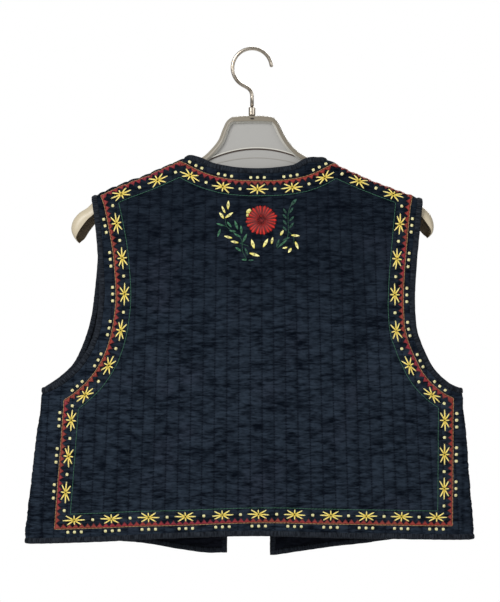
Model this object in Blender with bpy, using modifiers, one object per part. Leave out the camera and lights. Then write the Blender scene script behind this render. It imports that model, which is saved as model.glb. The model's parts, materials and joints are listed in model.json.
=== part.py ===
"""Quilted sleeveless vest hung flat on a plastic hanger, in metres, +Z up.

The origin is the underside of the hook's crown, where a rail carries it. The wearer's back faces -Y and
the open fronts face +Y. The cloth hangs as a flat tube: a back wall and two front walls that meet at the
side folds and at the shoulder ridges, with a bound edge round the neck, the armholes, the fronts and the hem.
"""

from collections import namedtuple
import math

import bmesh
import bpy
import numpy as np

OBJECT_NAME = "embroidered_vest"

# Quilted cloth
WALL = 0.0032            # thickness at a stitched line
PADDING = 0.0011         # how far a channel stands out between two stitched lines
CHANNEL = 0.0135         # from one stitched line to the next
CHANNEL_START = -0.0017  # the stitched line nearest the middle of the back
SEAM_GAP = 0.0003        # between pieces that are sewn or seated on each other
EDGE_STRIP = 0.004       # least width of cloth between a panel's edge and its next stitched line
SHARP_EDGE = 50          # degrees: a turn above this stays crisp when shaded

# Bias binding
BINDING_WIDTH = 0.0068
BINDING_THICK = 0.0048
BINDING_SIDES = 8
BINDING_SQUARENESS = 0.8  # power of its section: 1 is an ellipse, less is squarer
MITRE_LIMIT = 0.6        # the tightest corner that the strip's width follows
HEM_ENDS = 5             # places at each end of a hem where the strip keeps every column
BOUND_EDGE = BINDING_WIDTH + SEAM_GAP

# The shoulder line of the finished vest: across, height. The row at 0 carries both lines on to the hanger.
Shoulder = namedtuple("Shoulder", "across height")
SHOULDERS = (
    Shoulder(-0.1967, -0.1735),
    Shoulder(-0.1840, -0.1690),
    Shoulder(-0.1518, -0.1552),
    Shoulder(-0.1242, -0.1450),
    Shoulder(-0.0966, -0.1328),
    Shoulder(-0.0713, -0.1216),
    Shoulder(0.0000, -0.0920),
    Shoulder(0.0817, -0.1239),
    Shoulder(0.1035, -0.1354),
    Shoulder(0.1311, -0.1480),
    Shoulder(0.1587, -0.1588),
    Shoulder(0.1863, -0.1687),
    Shoulder(0.1990, -0.1725),
)

RIDGE_DROP = 0.0035      # from the top of the shoulder down to the inside of the cloth
ARMHOLE_TOP = -0.172     # height where the armhole's edge meets the shoulder

# The side folds of the finished vest: height, left, right
SideFold = namedtuple("SideFold", "height left right")
SIDE_FOLDS = (
    SideFold(-0.390, -0.2404, 0.2408),
    SideFold(-0.426, -0.2445, 0.2448),
    SideFold(-0.474, -0.2505, 0.2485),
    SideFold(-0.520, -0.2565, 0.2520),
    SideFold(-0.570, -0.2615, 0.2558),
)

# The armhole's bound edge from the shoulder to the side fold: height, and where it lies across
Armhole = namedtuple("Armhole", "height left right front_left")
ARMHOLES = (
    Armhole(-0.165, -0.1845, 0.1962, -0.1845),
    Armhole(-0.184, -0.1817, 0.1944, -0.1817),
    Armhole(-0.218, -0.1777, 0.1909, -0.1780),
    Armhole(-0.252, -0.1754, 0.1878, -0.1795),
    Armhole(-0.279, -0.1745, 0.1863, -0.1822),
    Armhole(-0.301, -0.1762, 0.1865, -0.1850),
    Armhole(-0.322, -0.1797, 0.1886, -0.1898),
    Armhole(-0.336, -0.1845, 0.1932, -0.1946),
    Armhole(-0.349, -0.1915, 0.1990, -0.2000),
    Armhole(-0.363, -0.2018, 0.2062, -0.2082),
    Armhole(-0.370, -0.2092, 0.2118, -0.2151),
    Armhole(-0.377, -0.2180, 0.2190, -0.2235),
    Armhole(-0.384, -0.2290, 0.2285, -0.2335),
    Armhole(-0.389, -0.2404, 0.2408, -0.2404),
)
UNDERARM_ROW = -0.325    # height where the armhole starts to turn out towards the side
SIDE_REACH = 0.085       # from under the armhole to the side fold, across

# The hem's bound edge: across, height
Hem = namedtuple("Hem", "across height")
BACK_HEM = (
    Hem(-0.2620, -0.5645),
    Hem(-0.1860, -0.5625),
    Hem(-0.0900, -0.5588),
    Hem(0.0000, -0.5574),
    Hem(0.1000, -0.5590),
    Hem(0.1860, -0.5608),
    Hem(0.2570, -0.5620),
)
FRONT_HEM = (
    Hem(-0.2620, -0.5645),
    Hem(-0.1860, -0.5635),
    Hem(-0.1220, -0.5655),
    Hem(-0.0850, -0.5712),
    Hem(-0.0480, -0.5758),
    Hem(-0.0200, -0.5770),
    Hem(0.0150, -0.5820),
    Hem(0.0530, -0.5748),
    Hem(0.0900, -0.5695),
    Hem(0.1270, -0.5655),
    Hem(0.1630, -0.5620),
    Hem(0.2570, -0.5620),
)

# Necklines
BACK_NECK_LOW = (0.0046, -0.1362)  # across and height of the lowest point of the bound edge
BACK_NECK_RISE = (2.53, 2.07)      # how fast it rises to the left and to the right, per metre
NECK_POINTS = (-0.0774, 0.0858)    # where the neckline meets the shoulder line, across
NECK_CORNER = 0.0014               # an extra column this close to each neck point rounds the corner
NECK_CORNER_DROP = 0.25            # least fall of the neckline beside the neck point, per metre across
FRONT_NECK_DROP = 0.076
FRONT_NECK_CURVE = 1.7
FRONT_EDGES = (-0.0288, 0.0207)    # where the two front edges hang, across

# How far the walls stand off the middle plane: height, half depth of the space between them
Depth = namedtuple("Depth", "height half")
DEPTHS = (
    Depth(-0.120, 0.0110),
    Depth(-0.200, 0.0150),
    Depth(-0.320, 0.0180),
    Depth(-0.450, 0.0180),
    Depth(-0.590, 0.0145),
)
FLATNESS = 3.0           # power of the cross section: higher is flatter with a tighter side fold
SHOULDER_BLEND = 0.085   # how far down the walls take to open from the shoulder ridge to their full depth
FULL_FOLD_DEPTH = 0.009  # half depth from which a soft fold has its full strength

# The rounded ridge over the hanger's arm: distance from the middle, half depth, height of the round
Ridge = namedtuple("Ridge", "across half rise")
RIDGES = (Ridge(0.050, 0.0068, 0.0068), Ridge(0.190, 0.0118, 0.0112))
RIDGE_TURNS = (0, 25, 50, 75)      # degrees round the ridge where the cloth has a row

# Soft folds in the hung cloth: wall, middle, slant in degrees, half length, half width, depth
Fold = namedtuple("Fold", "wall across height slant length width depth")
FOLDS = (
    Fold("back", -0.105, -0.300, 62, 0.085, 0.016, -0.0022),
    Fold("back", 0.118, -0.262, 118, 0.075, 0.014, -0.0024),
    Fold("back", 0.030, -0.290, 35, 0.060, 0.012, -0.0016),
    Fold("back", -0.035, -0.405, 84, 0.110, 0.020, 0.0020),
    Fold("back", 0.150, -0.440, 100, 0.100, 0.018, -0.0020),
    Fold("back", -0.150, -0.470, 80, 0.080, 0.016, 0.0018),
    Fold("back", 0.070, -0.500, 92, 0.060, 0.022, 0.0018),
    Fold("front", -0.110, -0.290, 66, 0.090, 0.017, -0.0024),
    Fold("front", 0.116, -0.300, 112, 0.085, 0.016, -0.0022),
    Fold("front", -0.080, -0.470, 86, 0.100, 0.022, 0.0026),
    Fold("front", 0.085, -0.450, 95, 0.110, 0.021, 0.0024),
    Fold("front", -0.170, -0.440, 78, 0.075, 0.016, -0.0018),
    Fold("front", 0.175, -0.480, 101, 0.070, 0.017, -0.0020),
)

# Rows and columns of the walls
LOWER_ROWS = 7
UPPER_ROWS = 5
SIDE_STEPS = (0.11, 0.22, 0.33, 0.44, 0.55, 0.66, 0.77, 0.88, 0.962, 0.991, 1.0)

# Hanger
ARM_CLEARANCE = 0.0004   # under the shoulder ridge, which rests on the arm
ARM_SIDE_CLEARANCE = 0.0010
PLASTIC = 0.0022
# The hanger's upper line from the left tip to the middle and on to the right tip.
# Rows on a shoulder take their height from the cloth's ridge, so theirs is None.
Rim = namedtuple("Rim", "across height half rise near far")
RIMS = (
    Rim(-0.1985, -0.2185, 0.0050, 0.0045, 0.0050, 0.0075),
    Rim(-0.2052, -0.2130, 0.0090, 0.0080, 0.0082, 0.0130),
    Rim(-0.2078, -0.2040, 0.0106, 0.0095, 0.0098, 0.0155),
    Rim(-0.2050, -0.1950, 0.0108, 0.0100, 0.0104, 0.0165),
    Rim(-0.1985, -0.1868, 0.0108, 0.0104, 0.0108, 0.0165),
    Rim(-0.1900, -0.1815, 0.0108, 0.0106, 0.0110, 0.0165),
    Rim(-0.1780, None, None, None, 0.0112, 0.0165),
    Rim(-0.1518, None, None, None, 0.0104, 0.0150),
    Rim(-0.1242, None, None, None, 0.0094, 0.0140),
    Rim(-0.0966, None, None, None, 0.0084, 0.0130),
    Rim(-0.0860, -0.1328, 0.0062, 0.0058, 0.0074, 0.0120),
    Rim(-0.0765, -0.1300, 0.0052, 0.0048, 0.0062, 0.0100),
    Rim(-0.0575, -0.1232, 0.0060, 0.0050, 0.0056, 0.0080),
    Rim(-0.0465, -0.1133, 0.0060, 0.0050, 0.0054, 0.0070),
    Rim(-0.0388, -0.1034, 0.0060, 0.0050, 0.0052, 0.0066),
    Rim(-0.0334, -0.0902, 0.0060, 0.0046, 0.0050, 0.0056),
    Rim(-0.0289, -0.0813, 0.0060, 0.0046, 0.0050, 0.0056),
    Rim(-0.0233, -0.0769, 0.0060, 0.0046, 0.0058, 0.0062),
    Rim(-0.0160, -0.0756, 0.0060, 0.0046, 0.0066, 0.0070),
    Rim(0.0180, -0.0756, 0.0060, 0.0046, 0.0066, 0.0070),
    Rim(0.0255, -0.0775, 0.0060, 0.0046, 0.0058, 0.0062),
    Rim(0.0306, -0.0836, 0.0060, 0.0046, 0.0050, 0.0056),
    Rim(0.0360, -0.0945, 0.0060, 0.0046, 0.0050, 0.0056),
    Rim(0.0437, -0.1066, 0.0060, 0.0050, 0.0052, 0.0066),
    Rim(0.0537, -0.1166, 0.0060, 0.0050, 0.0054, 0.0070),
    Rim(0.0646, -0.1232, 0.0060, 0.0050, 0.0056, 0.0080),
    Rim(0.0848, -0.1320, 0.0052, 0.0048, 0.0062, 0.0100),
    Rim(0.0945, -0.1350, 0.0062, 0.0058, 0.0074, 0.0120),
    Rim(0.1035, None, None, None, 0.0084, 0.0130),
    Rim(0.1311, None, None, None, 0.0094, 0.0140),
    Rim(0.1587, None, None, None, 0.0104, 0.0150),
    Rim(0.1890, None, None, None, 0.0112, 0.0165),
    Rim(0.1975, -0.1812, 0.0108, 0.0104, 0.0110, 0.0165),
    Rim(0.2040, -0.1876, 0.0108, 0.0100, 0.0106, 0.0165),
    Rim(0.2078, -0.1950, 0.0108, 0.0096, 0.0100, 0.0155),
    Rim(0.2080, -0.2030, 0.0094, 0.0084, 0.0086, 0.0130),
    Rim(0.2040, -0.2115, 0.0056, 0.0050, 0.0054, 0.0080),
)
RIM_TURNS = (-90, -50, -25, 0, 25, 50, 90)  # degrees over the rim's rounded top

# The web that fills the hanger's neck: lower edge from left to right, and its ledge
Web = namedtuple("Web", "across height")
WEB_LOWER_EDGE = (Web(-0.0720, -0.1400), Web(-0.0400, -0.1490), Web(0.0000, -0.1520),
                  Web(0.0420, -0.1490), Web(0.0790, -0.1420))
WEB_ENDS = 0.070         # the web reaches this far along the legs, from the middle
WEB_INSET = 0.0035       # from the rim's upper line in to the web's own edge
WEB_THICK = 0.0018
WEB_BACK = 0.0052        # the far face of the web, off the middle plane
LEDGE_ENDS = (-0.0535, 0.0640)
LEDGE_END_HEIGHT = -0.1275
LEDGE_CROWN = -0.1130
LEDGE_HEIGHT = 0.0026
LEDGE_DEPTH = 0.0070
LEDGE_STEPS = 14
SLOT_SIZE = (0.0052, 0.0060, 0.0024)
SLOT_CENTRE = (0.0, -0.0060, -0.0793)

# Metal
FERRULE_RADIUS = 0.0039
FERRULE_TOP = -0.0652
FERRULE_BOTTOM = -0.0753
FERRULE_EDGE = 0.0012
WIRE_RADIUS = 0.0021
HOOK_RADIUS = 0.0210     # to the middle of the wire
HOOK_TIP = 2             # degrees, where the crook ends on the right
HOOK_TURN = 214          # degrees, where the crook leaves its circle on the left
HOOK_FOOT = FERRULE_TOP + SEAM_GAP
HOOK_STRAIGHT = -0.0540  # where the wire is upright again
HOOK_STEPS = 27
SWEEP_STEPS = 12
SWEEP_REACH = 0.5        # share of the sweep's span that its two handles take

# Colours
NAVY = (0.012, 0.016, 0.026)
NAVY_BINDING = (0.010, 0.013, 0.020)
TAUPE = (0.30, 0.27, 0.22)
STEEL = (0.62, 0.60, 0.56)


def column(rows, name):
    """One named column of a table, as numbers."""
    return np.array([getattr(row, name) for row in rows], float)


def smooth(t):
    t = np.clip(t, 0.0, 1.0)
    return t * t * (3.0 - 2.0 * t)


def material(name, colour, roughness, metallic=0.0):
    made = bpy.data.materials.new(name)
    made.use_nodes = True
    shader = made.node_tree.nodes["Principled BSDF"]
    shader.inputs["Base Color"].default_value = (*colour, 1.0)
    shader.inputs["Roughness"].default_value = roughness
    shader.inputs["Metallic"].default_value = metallic
    return made


def new_object(name, mesh, paint, collection):
    made = bpy.data.objects.new(name, mesh)
    mesh.materials.append(paint)
    collection.objects.link(made)
    return made


# The form of the hung vest: where the inside of each wall lies


def ridge_height(x):
    """Inside of the cloth along the shoulder."""
    return np.interp(x, column(SHOULDERS, "across"), column(SHOULDERS, "height")) - RIDGE_DROP


def ridge_half(x):
    return np.interp(np.abs(x), column(RIDGES, "across"), column(RIDGES, "half"))


def ridge_rise(x):
    return np.interp(np.abs(x), column(RIDGES, "across"), column(RIDGES, "rise"))


def fold_across(z, left):
    """Inside of the cloth at a side fold, as a distance from the middle."""
    name = "left" if left else "right"
    heights = column(SIDE_FOLDS, "height")[::-1]
    return np.abs(np.interp(z, heights, column(SIDE_FOLDS, name)[::-1])) - WALL


def square_depth(x, z):
    """Square of the half depth; it falls through zero at the ridges and the side folds."""
    below = ridge_height(x) - z
    rise = ridge_rise(x)
    turn = np.maximum(1.0 - below / rise, 0.0)
    fold = np.where(x < 0, fold_across(z, True), fold_across(z, False))
    opened = smooth(below / SHOULDER_BLEND)
    half = np.interp(z, column(DEPTHS, "height")[::-1], column(DEPTHS, "half")[::-1])
    body = half ** 2 * (1.0 - (np.abs(x) / fold) ** FLATNESS)
    return (ridge_half(x) ** 2 * (1.0 - opened) + body * opened) * (1.0 - turn ** 2)


def soft_folds(x, z, wall):
    """How far the soft folds push a wall out or let it in, fading to nothing at ridges and side folds."""
    total = np.zeros_like(x)
    for fold in FOLDS:
        if fold.wall != wall:
            continue
        angle = math.radians(fold.slant)
        along = (x - fold.across) * math.cos(angle) + (z - fold.height) * math.sin(angle)
        aside = (z - fold.height) * math.cos(angle) - (x - fold.across) * math.sin(angle)
        total += fold.depth * np.exp(-(along / fold.length) ** 2 - (aside / fold.width) ** 2)
    return total * smooth(square_depth(x, z) / FULL_FOLD_DEPTH ** 2)


def form(x, z, wall):
    """Points on the inside of a wall, and the directions out of it."""
    step = 1e-5
    push = soft_folds(x, z, wall)
    half = np.sqrt(np.maximum(square_depth(x, z), 0.0))
    slope_x = (square_depth(x + step, z) - square_depth(x - step, z)) / (2 * step)
    slope_z = (square_depth(x, z + step) - square_depth(x, z - step)) / (2 * step)
    push_x = (soft_folds(x + step, z, wall) - soft_folds(x - step, z, wall)) / (2 * step)
    push_z = (soft_folds(x, z + step, wall) - soft_folds(x, z - step, wall)) / (2 * step)
    side = -1.0 if wall == "back" else 1.0
    points = np.stack([x, side * (half + push + SEAM_GAP / 2), z], axis=-1)
    out = np.stack([-slope_x - 2 * half * push_x, side * 2 * half, -slope_z - 2 * half * push_z], axis=-1)
    return points, out / np.linalg.norm(out, axis=-1, keepdims=True)


# The outlines of the cut pieces, inside their bindings


def inset(points, distance):
    """A line moved to its right-hand side, point by point."""
    points = np.asarray(points, float)
    along = np.gradient(points, axis=0)
    along /= np.linalg.norm(along, axis=1, keepdims=True)
    return points + distance * np.stack([along[:, 1], -along[:, 0]], axis=1)


def armhole_edge(wall, left):
    """The cloth's edge at an armhole, from the shoulder to the side fold, as across and height."""
    name = "front_left" if wall == "front" and left else ("left" if left else "right")
    edge = np.stack([column(ARMHOLES, name), column(ARMHOLES, "height")], axis=1)
    return inset(edge, -BOUND_EDGE if left else BOUND_EDGE)


def hem_edge(x, wall):
    rows = BACK_HEM if wall == "back" else FRONT_HEM
    return np.interp(x, column(rows, "across"), column(rows, "height")) + BOUND_EDGE


def top_edge(x, wall):
    """The cloth's upper edge between the armholes: the shoulder line, or the neckline."""
    left, right = NECK_POINTS
    if x <= left or x >= right:
        return float(ridge_height(x))
    if wall == "back":
        rise = BACK_NECK_RISE[0 if x < BACK_NECK_LOW[0] else 1]
        curve = BACK_NECK_LOW[1] + rise * (x - BACK_NECK_LOW[0]) ** 2 - 1.05 * BOUND_EDGE
        return min(curve, float(ridge_height(x)) - NECK_CORNER_DROP * min(x - left, right - x))
    neck, edge = (left, FRONT_EDGES[0] - BOUND_EDGE) if x < 0 else (right, FRONT_EDGES[1] + BOUND_EDGE)
    share = (x - neck) / (edge - neck)
    return float(ridge_height(neck)) - FRONT_NECK_DROP * (1.0 - (1.0 - share) ** FRONT_NECK_CURVE)


def main_columns(low, high):
    """Stitched lines and channel middles between two distances across, and the neck's own columns."""
    first = math.ceil((low - CHANNEL_START) / (CHANNEL / 2))
    last = math.floor((high - CHANNEL_START) / (CHANNEL / 2))
    grid = [(CHANNEL_START + k * CHANNEL / 2, k % 2 == 1) for k in range(first, last + 1)]
    neck = [x for point, step in zip(NECK_POINTS, (NECK_CORNER, -NECK_CORNER)) for x in (point, point + step)]
    neck = [x for x in neck if low < x < high]
    apart = [row for row in grid if all(abs(row[0] - x) > CHANNEL / 4 for x in neck)]
    return sorted(apart + [(x, False) for x in neck])


class Panel:
    """A quilted wall as a grid: columns from left to right, rows from the hem up.

    The columns under an armhole have only the lower rows. Each column is marked as a channel's middle,
    which stands out, or as a stitched line.
    """

    def __init__(self, wall, low, high):
        self.wall = wall
        self.columns = []
        if low is None:
            self.add_side(left=True)
            low = max(self.armhole_reach(True))
        else:
            self.add_main(low, False)
        closes_right = high is not None
        inner_high = high if closes_right else min(self.armhole_reach(False))
        for x, stands in main_columns(low + EDGE_STRIP, inner_high - EDGE_STRIP):
            self.add_main(x, stands)
        if closes_right:
            self.add_main(high, False)
        else:
            self.add_side(left=False)
        rows = LOWER_ROWS + UPPER_ROWS + len(RIDGE_TURNS)
        self.x = np.full((len(self.columns), rows), np.nan)
        self.z = np.full_like(self.x, np.nan)
        stands = np.zeros_like(self.x)
        for i, (xs, zs, crest) in enumerate(self.columns):
            self.x[i, :len(xs)] = xs
            self.z[i, :len(zs)] = zs
            stands[i, 1:len(xs) - 1] = crest
        stands[[0, -1]] = 0
        self.there = ~np.isnan(self.x)
        self.inner, self.out = form(np.nan_to_num(self.x), np.nan_to_num(self.z, nan=-0.4), wall)
        self.outer = self.inner + self.out * (WALL + PADDING * stands)[..., None]

    def armhole_at(self, left):
        edge = armhole_edge(self.wall, left)
        return float(np.interp(-UNDERARM_ROW, -edge[:, 1], edge[:, 0]))

    def armhole_reach(self, left):
        """How far across the armhole's edge lies, above the underarm."""
        edge = armhole_edge(self.wall, left)
        return edge[edge[:, 1] > UNDERARM_ROW, 0]

    def column_heights(self, x, low, middle, top):
        """Rows from the hem to the underarm level, then up to the shoulder or the neck."""
        lower = np.linspace(low, middle, LOWER_ROWS + 1)
        rise = float(ridge_rise(x))
        upper = [top - rise * (1.0 - math.cos(math.radians(turn))) for turn in RIDGE_TURNS][::-1]
        between = np.linspace(middle, upper[0], UPPER_ROWS + 1)[1:-1]
        return np.concatenate([lower, between, upper])

    def add_main(self, x, stands):
        heights = self.column_heights(x, hem_edge(x, self.wall), UNDERARM_ROW, top_edge(x, self.wall))
        self.columns.append((np.full_like(heights, x), heights, stands))

    def add_side(self, left):
        """The column that follows the armhole, and the columns under it out to the side fold."""
        edge = armhole_edge(self.wall, left)
        self.edge_x = self.armhole_at(left)
        top = float(ridge_height(np.interp(-ARMHOLE_TOP, -edge[:, 1], edge[:, 0])))
        heights = self.column_heights(self.edge_x, hem_edge(self.edge_x, self.wall), UNDERARM_ROW, top)
        across = np.where(heights > UNDERARM_ROW, np.interp(-heights, -edge[:, 1], edge[:, 0]), self.edge_x)
        armhole_column = (across, heights, False)
        side = -1.0 if left else 1.0
        low_part = np.vstack([[self.edge_x, UNDERARM_ROW], edge[edge[:, 1] < UNDERARM_ROW]])
        made = []
        for number, share in enumerate(SIDE_STEPS):
            tip = float(fold_across(edge[-1, 1], left))
            top_x = abs(self.edge_x) + share * (tip - abs(self.edge_x))
            top_z = float(np.interp(top_x, np.abs(low_part[:, 0]), low_part[:, 1]))
            foot_x = side * abs(self.edge_x)
            low_z = float(hem_edge(foot_x + side * share * SIDE_REACH, self.wall))
            zs = np.linspace(low_z, top_z, LOWER_ROWS + 1)
            xs = side * (abs(self.edge_x) + share * (fold_across(zs, left) - abs(self.edge_x)))
            made.append((xs, zs, number % 2 == 0 and share < 0.9))
        if left:
            self.columns += made[::-1] + [armhole_column]
            self.armhole_left = len(made)
        else:
            self.armhole_right = len(self.columns)
            self.columns += [armhole_column] + made

    def mesh(self, name):
        """The closed wall: both faces, and a rim wherever a face's edge is free."""
        number = np.cumsum(self.there.ravel()).reshape(self.there.shape) - 1
        count = int(self.there.sum())
        points = np.concatenate([self.outer[self.there], self.inner[self.there]])
        faces = []
        used = {}
        for i in range(self.x.shape[0] - 1):
            for j in range(self.x.shape[1] - 1):
                if not self.there[i:i + 2, j:j + 2].all():
                    continue
                face = [number[i, j], number[i + 1, j], number[i + 1, j + 1], number[i, j + 1]]
                faces += [face, [f + count for f in face[::-1]]]
                for a, b in zip(face, face[1:] + face[:1]):
                    used[(a, b)] = used.get((a, b), 0) + 1
        for a, b in used:
            if (b, a) not in used:
                faces.append([b, a, a + count, b + count])
        return closed_mesh(name, points, faces)

    def edge(self, places):
        """Points and outward directions of the wall's edge at the given column and row pairs."""
        columns, rows = zip(*places)
        return self.inner[columns, rows], self.out[columns, rows]


def closed_mesh(name, points, faces):
    """A closed mesh with its faces turned outwards."""
    made = bpy.data.meshes.new(name)
    made.from_pydata([tuple(p) for p in points], [], [[int(v) for v in face] for face in faces])
    work = bmesh.new()
    work.from_mesh(made)
    bmesh.ops.recalc_face_normals(work, faces=work.faces)
    work.to_mesh(made)
    work.free()
    made.shade_smooth()
    made.set_sharp_from_angle(angle=math.radians(SHARP_EDGE))
    return made


def loft(name, rings, closed):
    """A skin over rings of equal size, closed in a loop or capped at both ends."""
    count, size = rings.shape[:2]
    faces = []
    for k in range(count if closed else count - 1):
        here, after = k * size, (k + 1) % count * size
        for m in range(size):
            n = (m + 1) % size
            faces.append([here + m, here + n, after + n, after + m])
    if not closed:
        faces += [list(range(size)), list(range((count - 1) * size, count * size))]
    return closed_mesh(name, rings.reshape(-1, 3), faces)


def binding_mesh(name, points, out, side, closed):
    """A rolled strip beside a wall's edge: its inside is level with the wall's, and corners are mitred."""
    before = np.roll(points, 1, axis=0)
    after = np.roll(points, -1, axis=0)
    if not closed:
        before[0] = 2 * points[0] - points[1]
        after[-1] = 2 * points[-1] - points[-2]
    first = side * np.cross(points - before, out)
    second = side * np.cross(after - points, out)
    first /= np.linalg.norm(first, axis=1, keepdims=True)
    second /= np.linalg.norm(second, axis=1, keepdims=True)
    away = first + second
    away /= np.linalg.norm(away, axis=1, keepdims=True)
    away /= np.maximum((away * first).sum(axis=1), MITRE_LIMIT)[:, None]
    turns = np.radians(360 / BINDING_SIDES * (np.arange(BINDING_SIDES) + 0.5))
    wide, thick = (np.sign(part) * np.abs(part) ** BINDING_SQUARENESS * size / 2
                   for part, size in ((np.cos(turns), BINDING_WIDTH), (np.sin(turns), BINDING_THICK)))
    centres = points + out * BINDING_THICK / 2 + away * (SEAM_GAP + BINDING_WIDTH / 2)
    rings = centres[:, None] + away[:, None] * wide[None, :, None] + out[:, None] * thick[None, :, None]
    return loft(name, rings, closed)


def joined(parts, closed=False):
    """Edges end to end; two meeting ends, on either side of a seam, become one point between them."""
    points, out = [list(half) for half in parts[0]]
    for more_points, more_out in parts[1:]:
        points[-1] = (points[-1] + more_points[0]) / 2
        out[-1] = out[-1] + more_out[0]
        points += list(more_points[1:])
        out += list(more_out[1:])
    if closed:
        points[0] = (points[0] + points[-1]) / 2
        out[0] = out[0] + out[-1]
        points.pop()
        out.pop()
    out = np.array(out)
    return np.array(points), out / np.linalg.norm(out, axis=1, keepdims=True)


def thinned(places):
    """Every second place, and all of those near both ends."""
    return [p for n, p in enumerate(places) if n % 2 == 0 or not HEM_ENDS <= n < len(places) - HEM_ENDS]


def build_cloth(collection, quilted, binding):
    """The three panels, and the strips that bind their edges."""
    back = Panel("back", None, None)
    left = Panel("front", None, FRONT_EDGES[0] - BOUND_EDGE)
    right = Panel("front", FRONT_EDGES[1] + BOUND_EDGE, None)
    for name, panel in (("back_panel", back), ("front_left", left), ("front_right", right)):
        new_object(name, panel.mesh(name), quilted, collection)

    top = back.x.shape[1] - 1
    low = LOWER_ROWS

    def armhole_left(panel):
        side = [(i, low) for i in range(panel.armhole_left + 1)]
        return side + [(panel.armhole_left, j) for j in range(low + 1, top + 1)]

    def armhole_right(panel):
        side = [(i, low) for i in range(panel.x.shape[0] - 1, panel.armhole_right - 1, -1)]
        return side + [(panel.armhole_right, j) for j in range(low + 1, top + 1)]

    for name, place, front, side in (
        ("armhole_binding_left", armhole_left, left, -1),
        ("armhole_binding_right", armhole_right, right, 1),
    ):
        ring = joined([back.edge(place(back)), front.edge(place(front)[::-1])], closed=True)
        new_object(name, binding_mesh(name, *ring, side, True), binding, collection)

    def hem(panel):
        return [(i, 0) for i in range(panel.x.shape[0])]

    hem_line = joined([
        left.edge(thinned(hem(left)[::-1])),
        back.edge(thinned(hem(back))),
        right.edge(thinned(hem(right)[::-1])),
    ])
    new_object("hem_binding", binding_mesh("hem_binding", *hem_line, 1, False), binding, collection)

    neck_left, neck_right = NECK_POINTS

    def neck(panel, low_x, high_x):
        near = 1e-6
        inside = (panel.x[:, top] > low_x - near) & (panel.x[:, top] < high_x + near)
        return [(int(i), top) for i in np.where(inside)[0]]

    left_last = left.x.shape[0] - 1
    left_neck = neck(left, neck_left, 0.0)[::-1]
    right_neck = neck(right, 0.0, neck_right)
    up = left.edge([(left_last, j) for j in range(top)] + left_neck)
    across = back.edge(neck(back, neck_left, neck_right))
    down = right.edge(right_neck[::-1] + [(0, j) for j in range(top - 1, -1, -1)])
    line, out = joined([up, across, down])
    below = np.array([0.0, 0.0, BOUND_EDGE])
    line = np.concatenate([[line[0] - below], line, [line[-1] - below]])
    out = np.concatenate([out[:1], out, out[-1:]])
    name = "neck_front_binding"
    new_object(name, binding_mesh(name, line, out, -1, False), binding, collection)


# Hanger


def rim_rings():
    """Channel sections of the hanger, from the left tip over the neck to the right tip."""
    turns = np.radians(RIM_TURNS)
    rows = []
    for rim in RIMS:
        if rim.height is None:
            half = float(ridge_half(rim.across)) - ARM_SIDE_CLEARANCE
            rise = float(ridge_rise(rim.across)) - ARM_CLEARANCE
            rows.append((rim.across, float(ridge_height(rim.across)) - ARM_CLEARANCE, half, rise, rim))
        else:
            rows.append((rim.across, rim.height, rim.half, rim.rise, rim))
    line = np.array([row[:2] for row in rows])
    along = np.gradient(line, axis=0)
    along /= np.linalg.norm(along, axis=1, keepdims=True)
    rings = []
    for (x, z, half, rise, rim), (dx, dz) in zip(rows, along):
        outer = [(-half, -rim.near)]
        outer += [(half * math.sin(t), -rise * (1 - math.cos(t))) for t in turns]
        outer += [(half, -rim.far)]
        thin_half, thin_rise = half - PLASTIC, rise - PLASTIC
        inner = [(thin_half, -rim.far)]
        inner += [(thin_half * math.sin(t), -PLASTIC - thin_rise * (1 - math.cos(t))) for t in turns[::-1]]
        inner += [(-thin_half, -rim.near)]
        rings.append([(x - dz * up, across, z + dx * up) for across, up in outer + inner])
    return np.array(rings)


def web_mesh():
    """The flat web between the hanger's legs."""
    upper = [(r.across, r.height) for r in RIMS if r.height is not None and abs(r.across) < WEB_ENDS]
    upper = inset(upper, WEB_INSET)
    lower = [(w.across, w.height) for w in WEB_LOWER_EDGE][::-1]
    outline = list(map(tuple, upper)) + lower
    front, back = WEB_BACK - WEB_THICK, WEB_BACK
    points = [(x, front, z) for x, z in outline] + [(x, back, z) for x, z in outline]
    size = len(outline)
    faces = [list(range(size)), list(range(size, 2 * size))]
    faces += [[m, (m + 1) % size, (m + 1) % size + size, m + size] for m in range(size)]
    return closed_mesh("hanger_web", points, faces)


def ledge_mesh():
    """The thin arched ledge that stands out of the web."""
    shares = np.linspace(-1.0, 1.0, LEDGE_STEPS)
    middle = sum(LEDGE_ENDS) / 2
    x = middle + shares * (LEDGE_ENDS[1] - LEDGE_ENDS[0]) / 2
    z = LEDGE_CROWN + (LEDGE_END_HEIGHT - LEDGE_CROWN) * shares ** 2
    front, back = WEB_BACK - LEDGE_DEPTH, WEB_BACK - WEB_THICK / 2
    corners = ((front, 0.0), (back, 0.0), (back, -LEDGE_HEIGHT), (front, -LEDGE_HEIGHT))
    rings = np.array([[(px, y, pz + up) for y, up in corners] for px, pz in zip(x, z)])
    return loft("hanger_ledge", rings, False)


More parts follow.
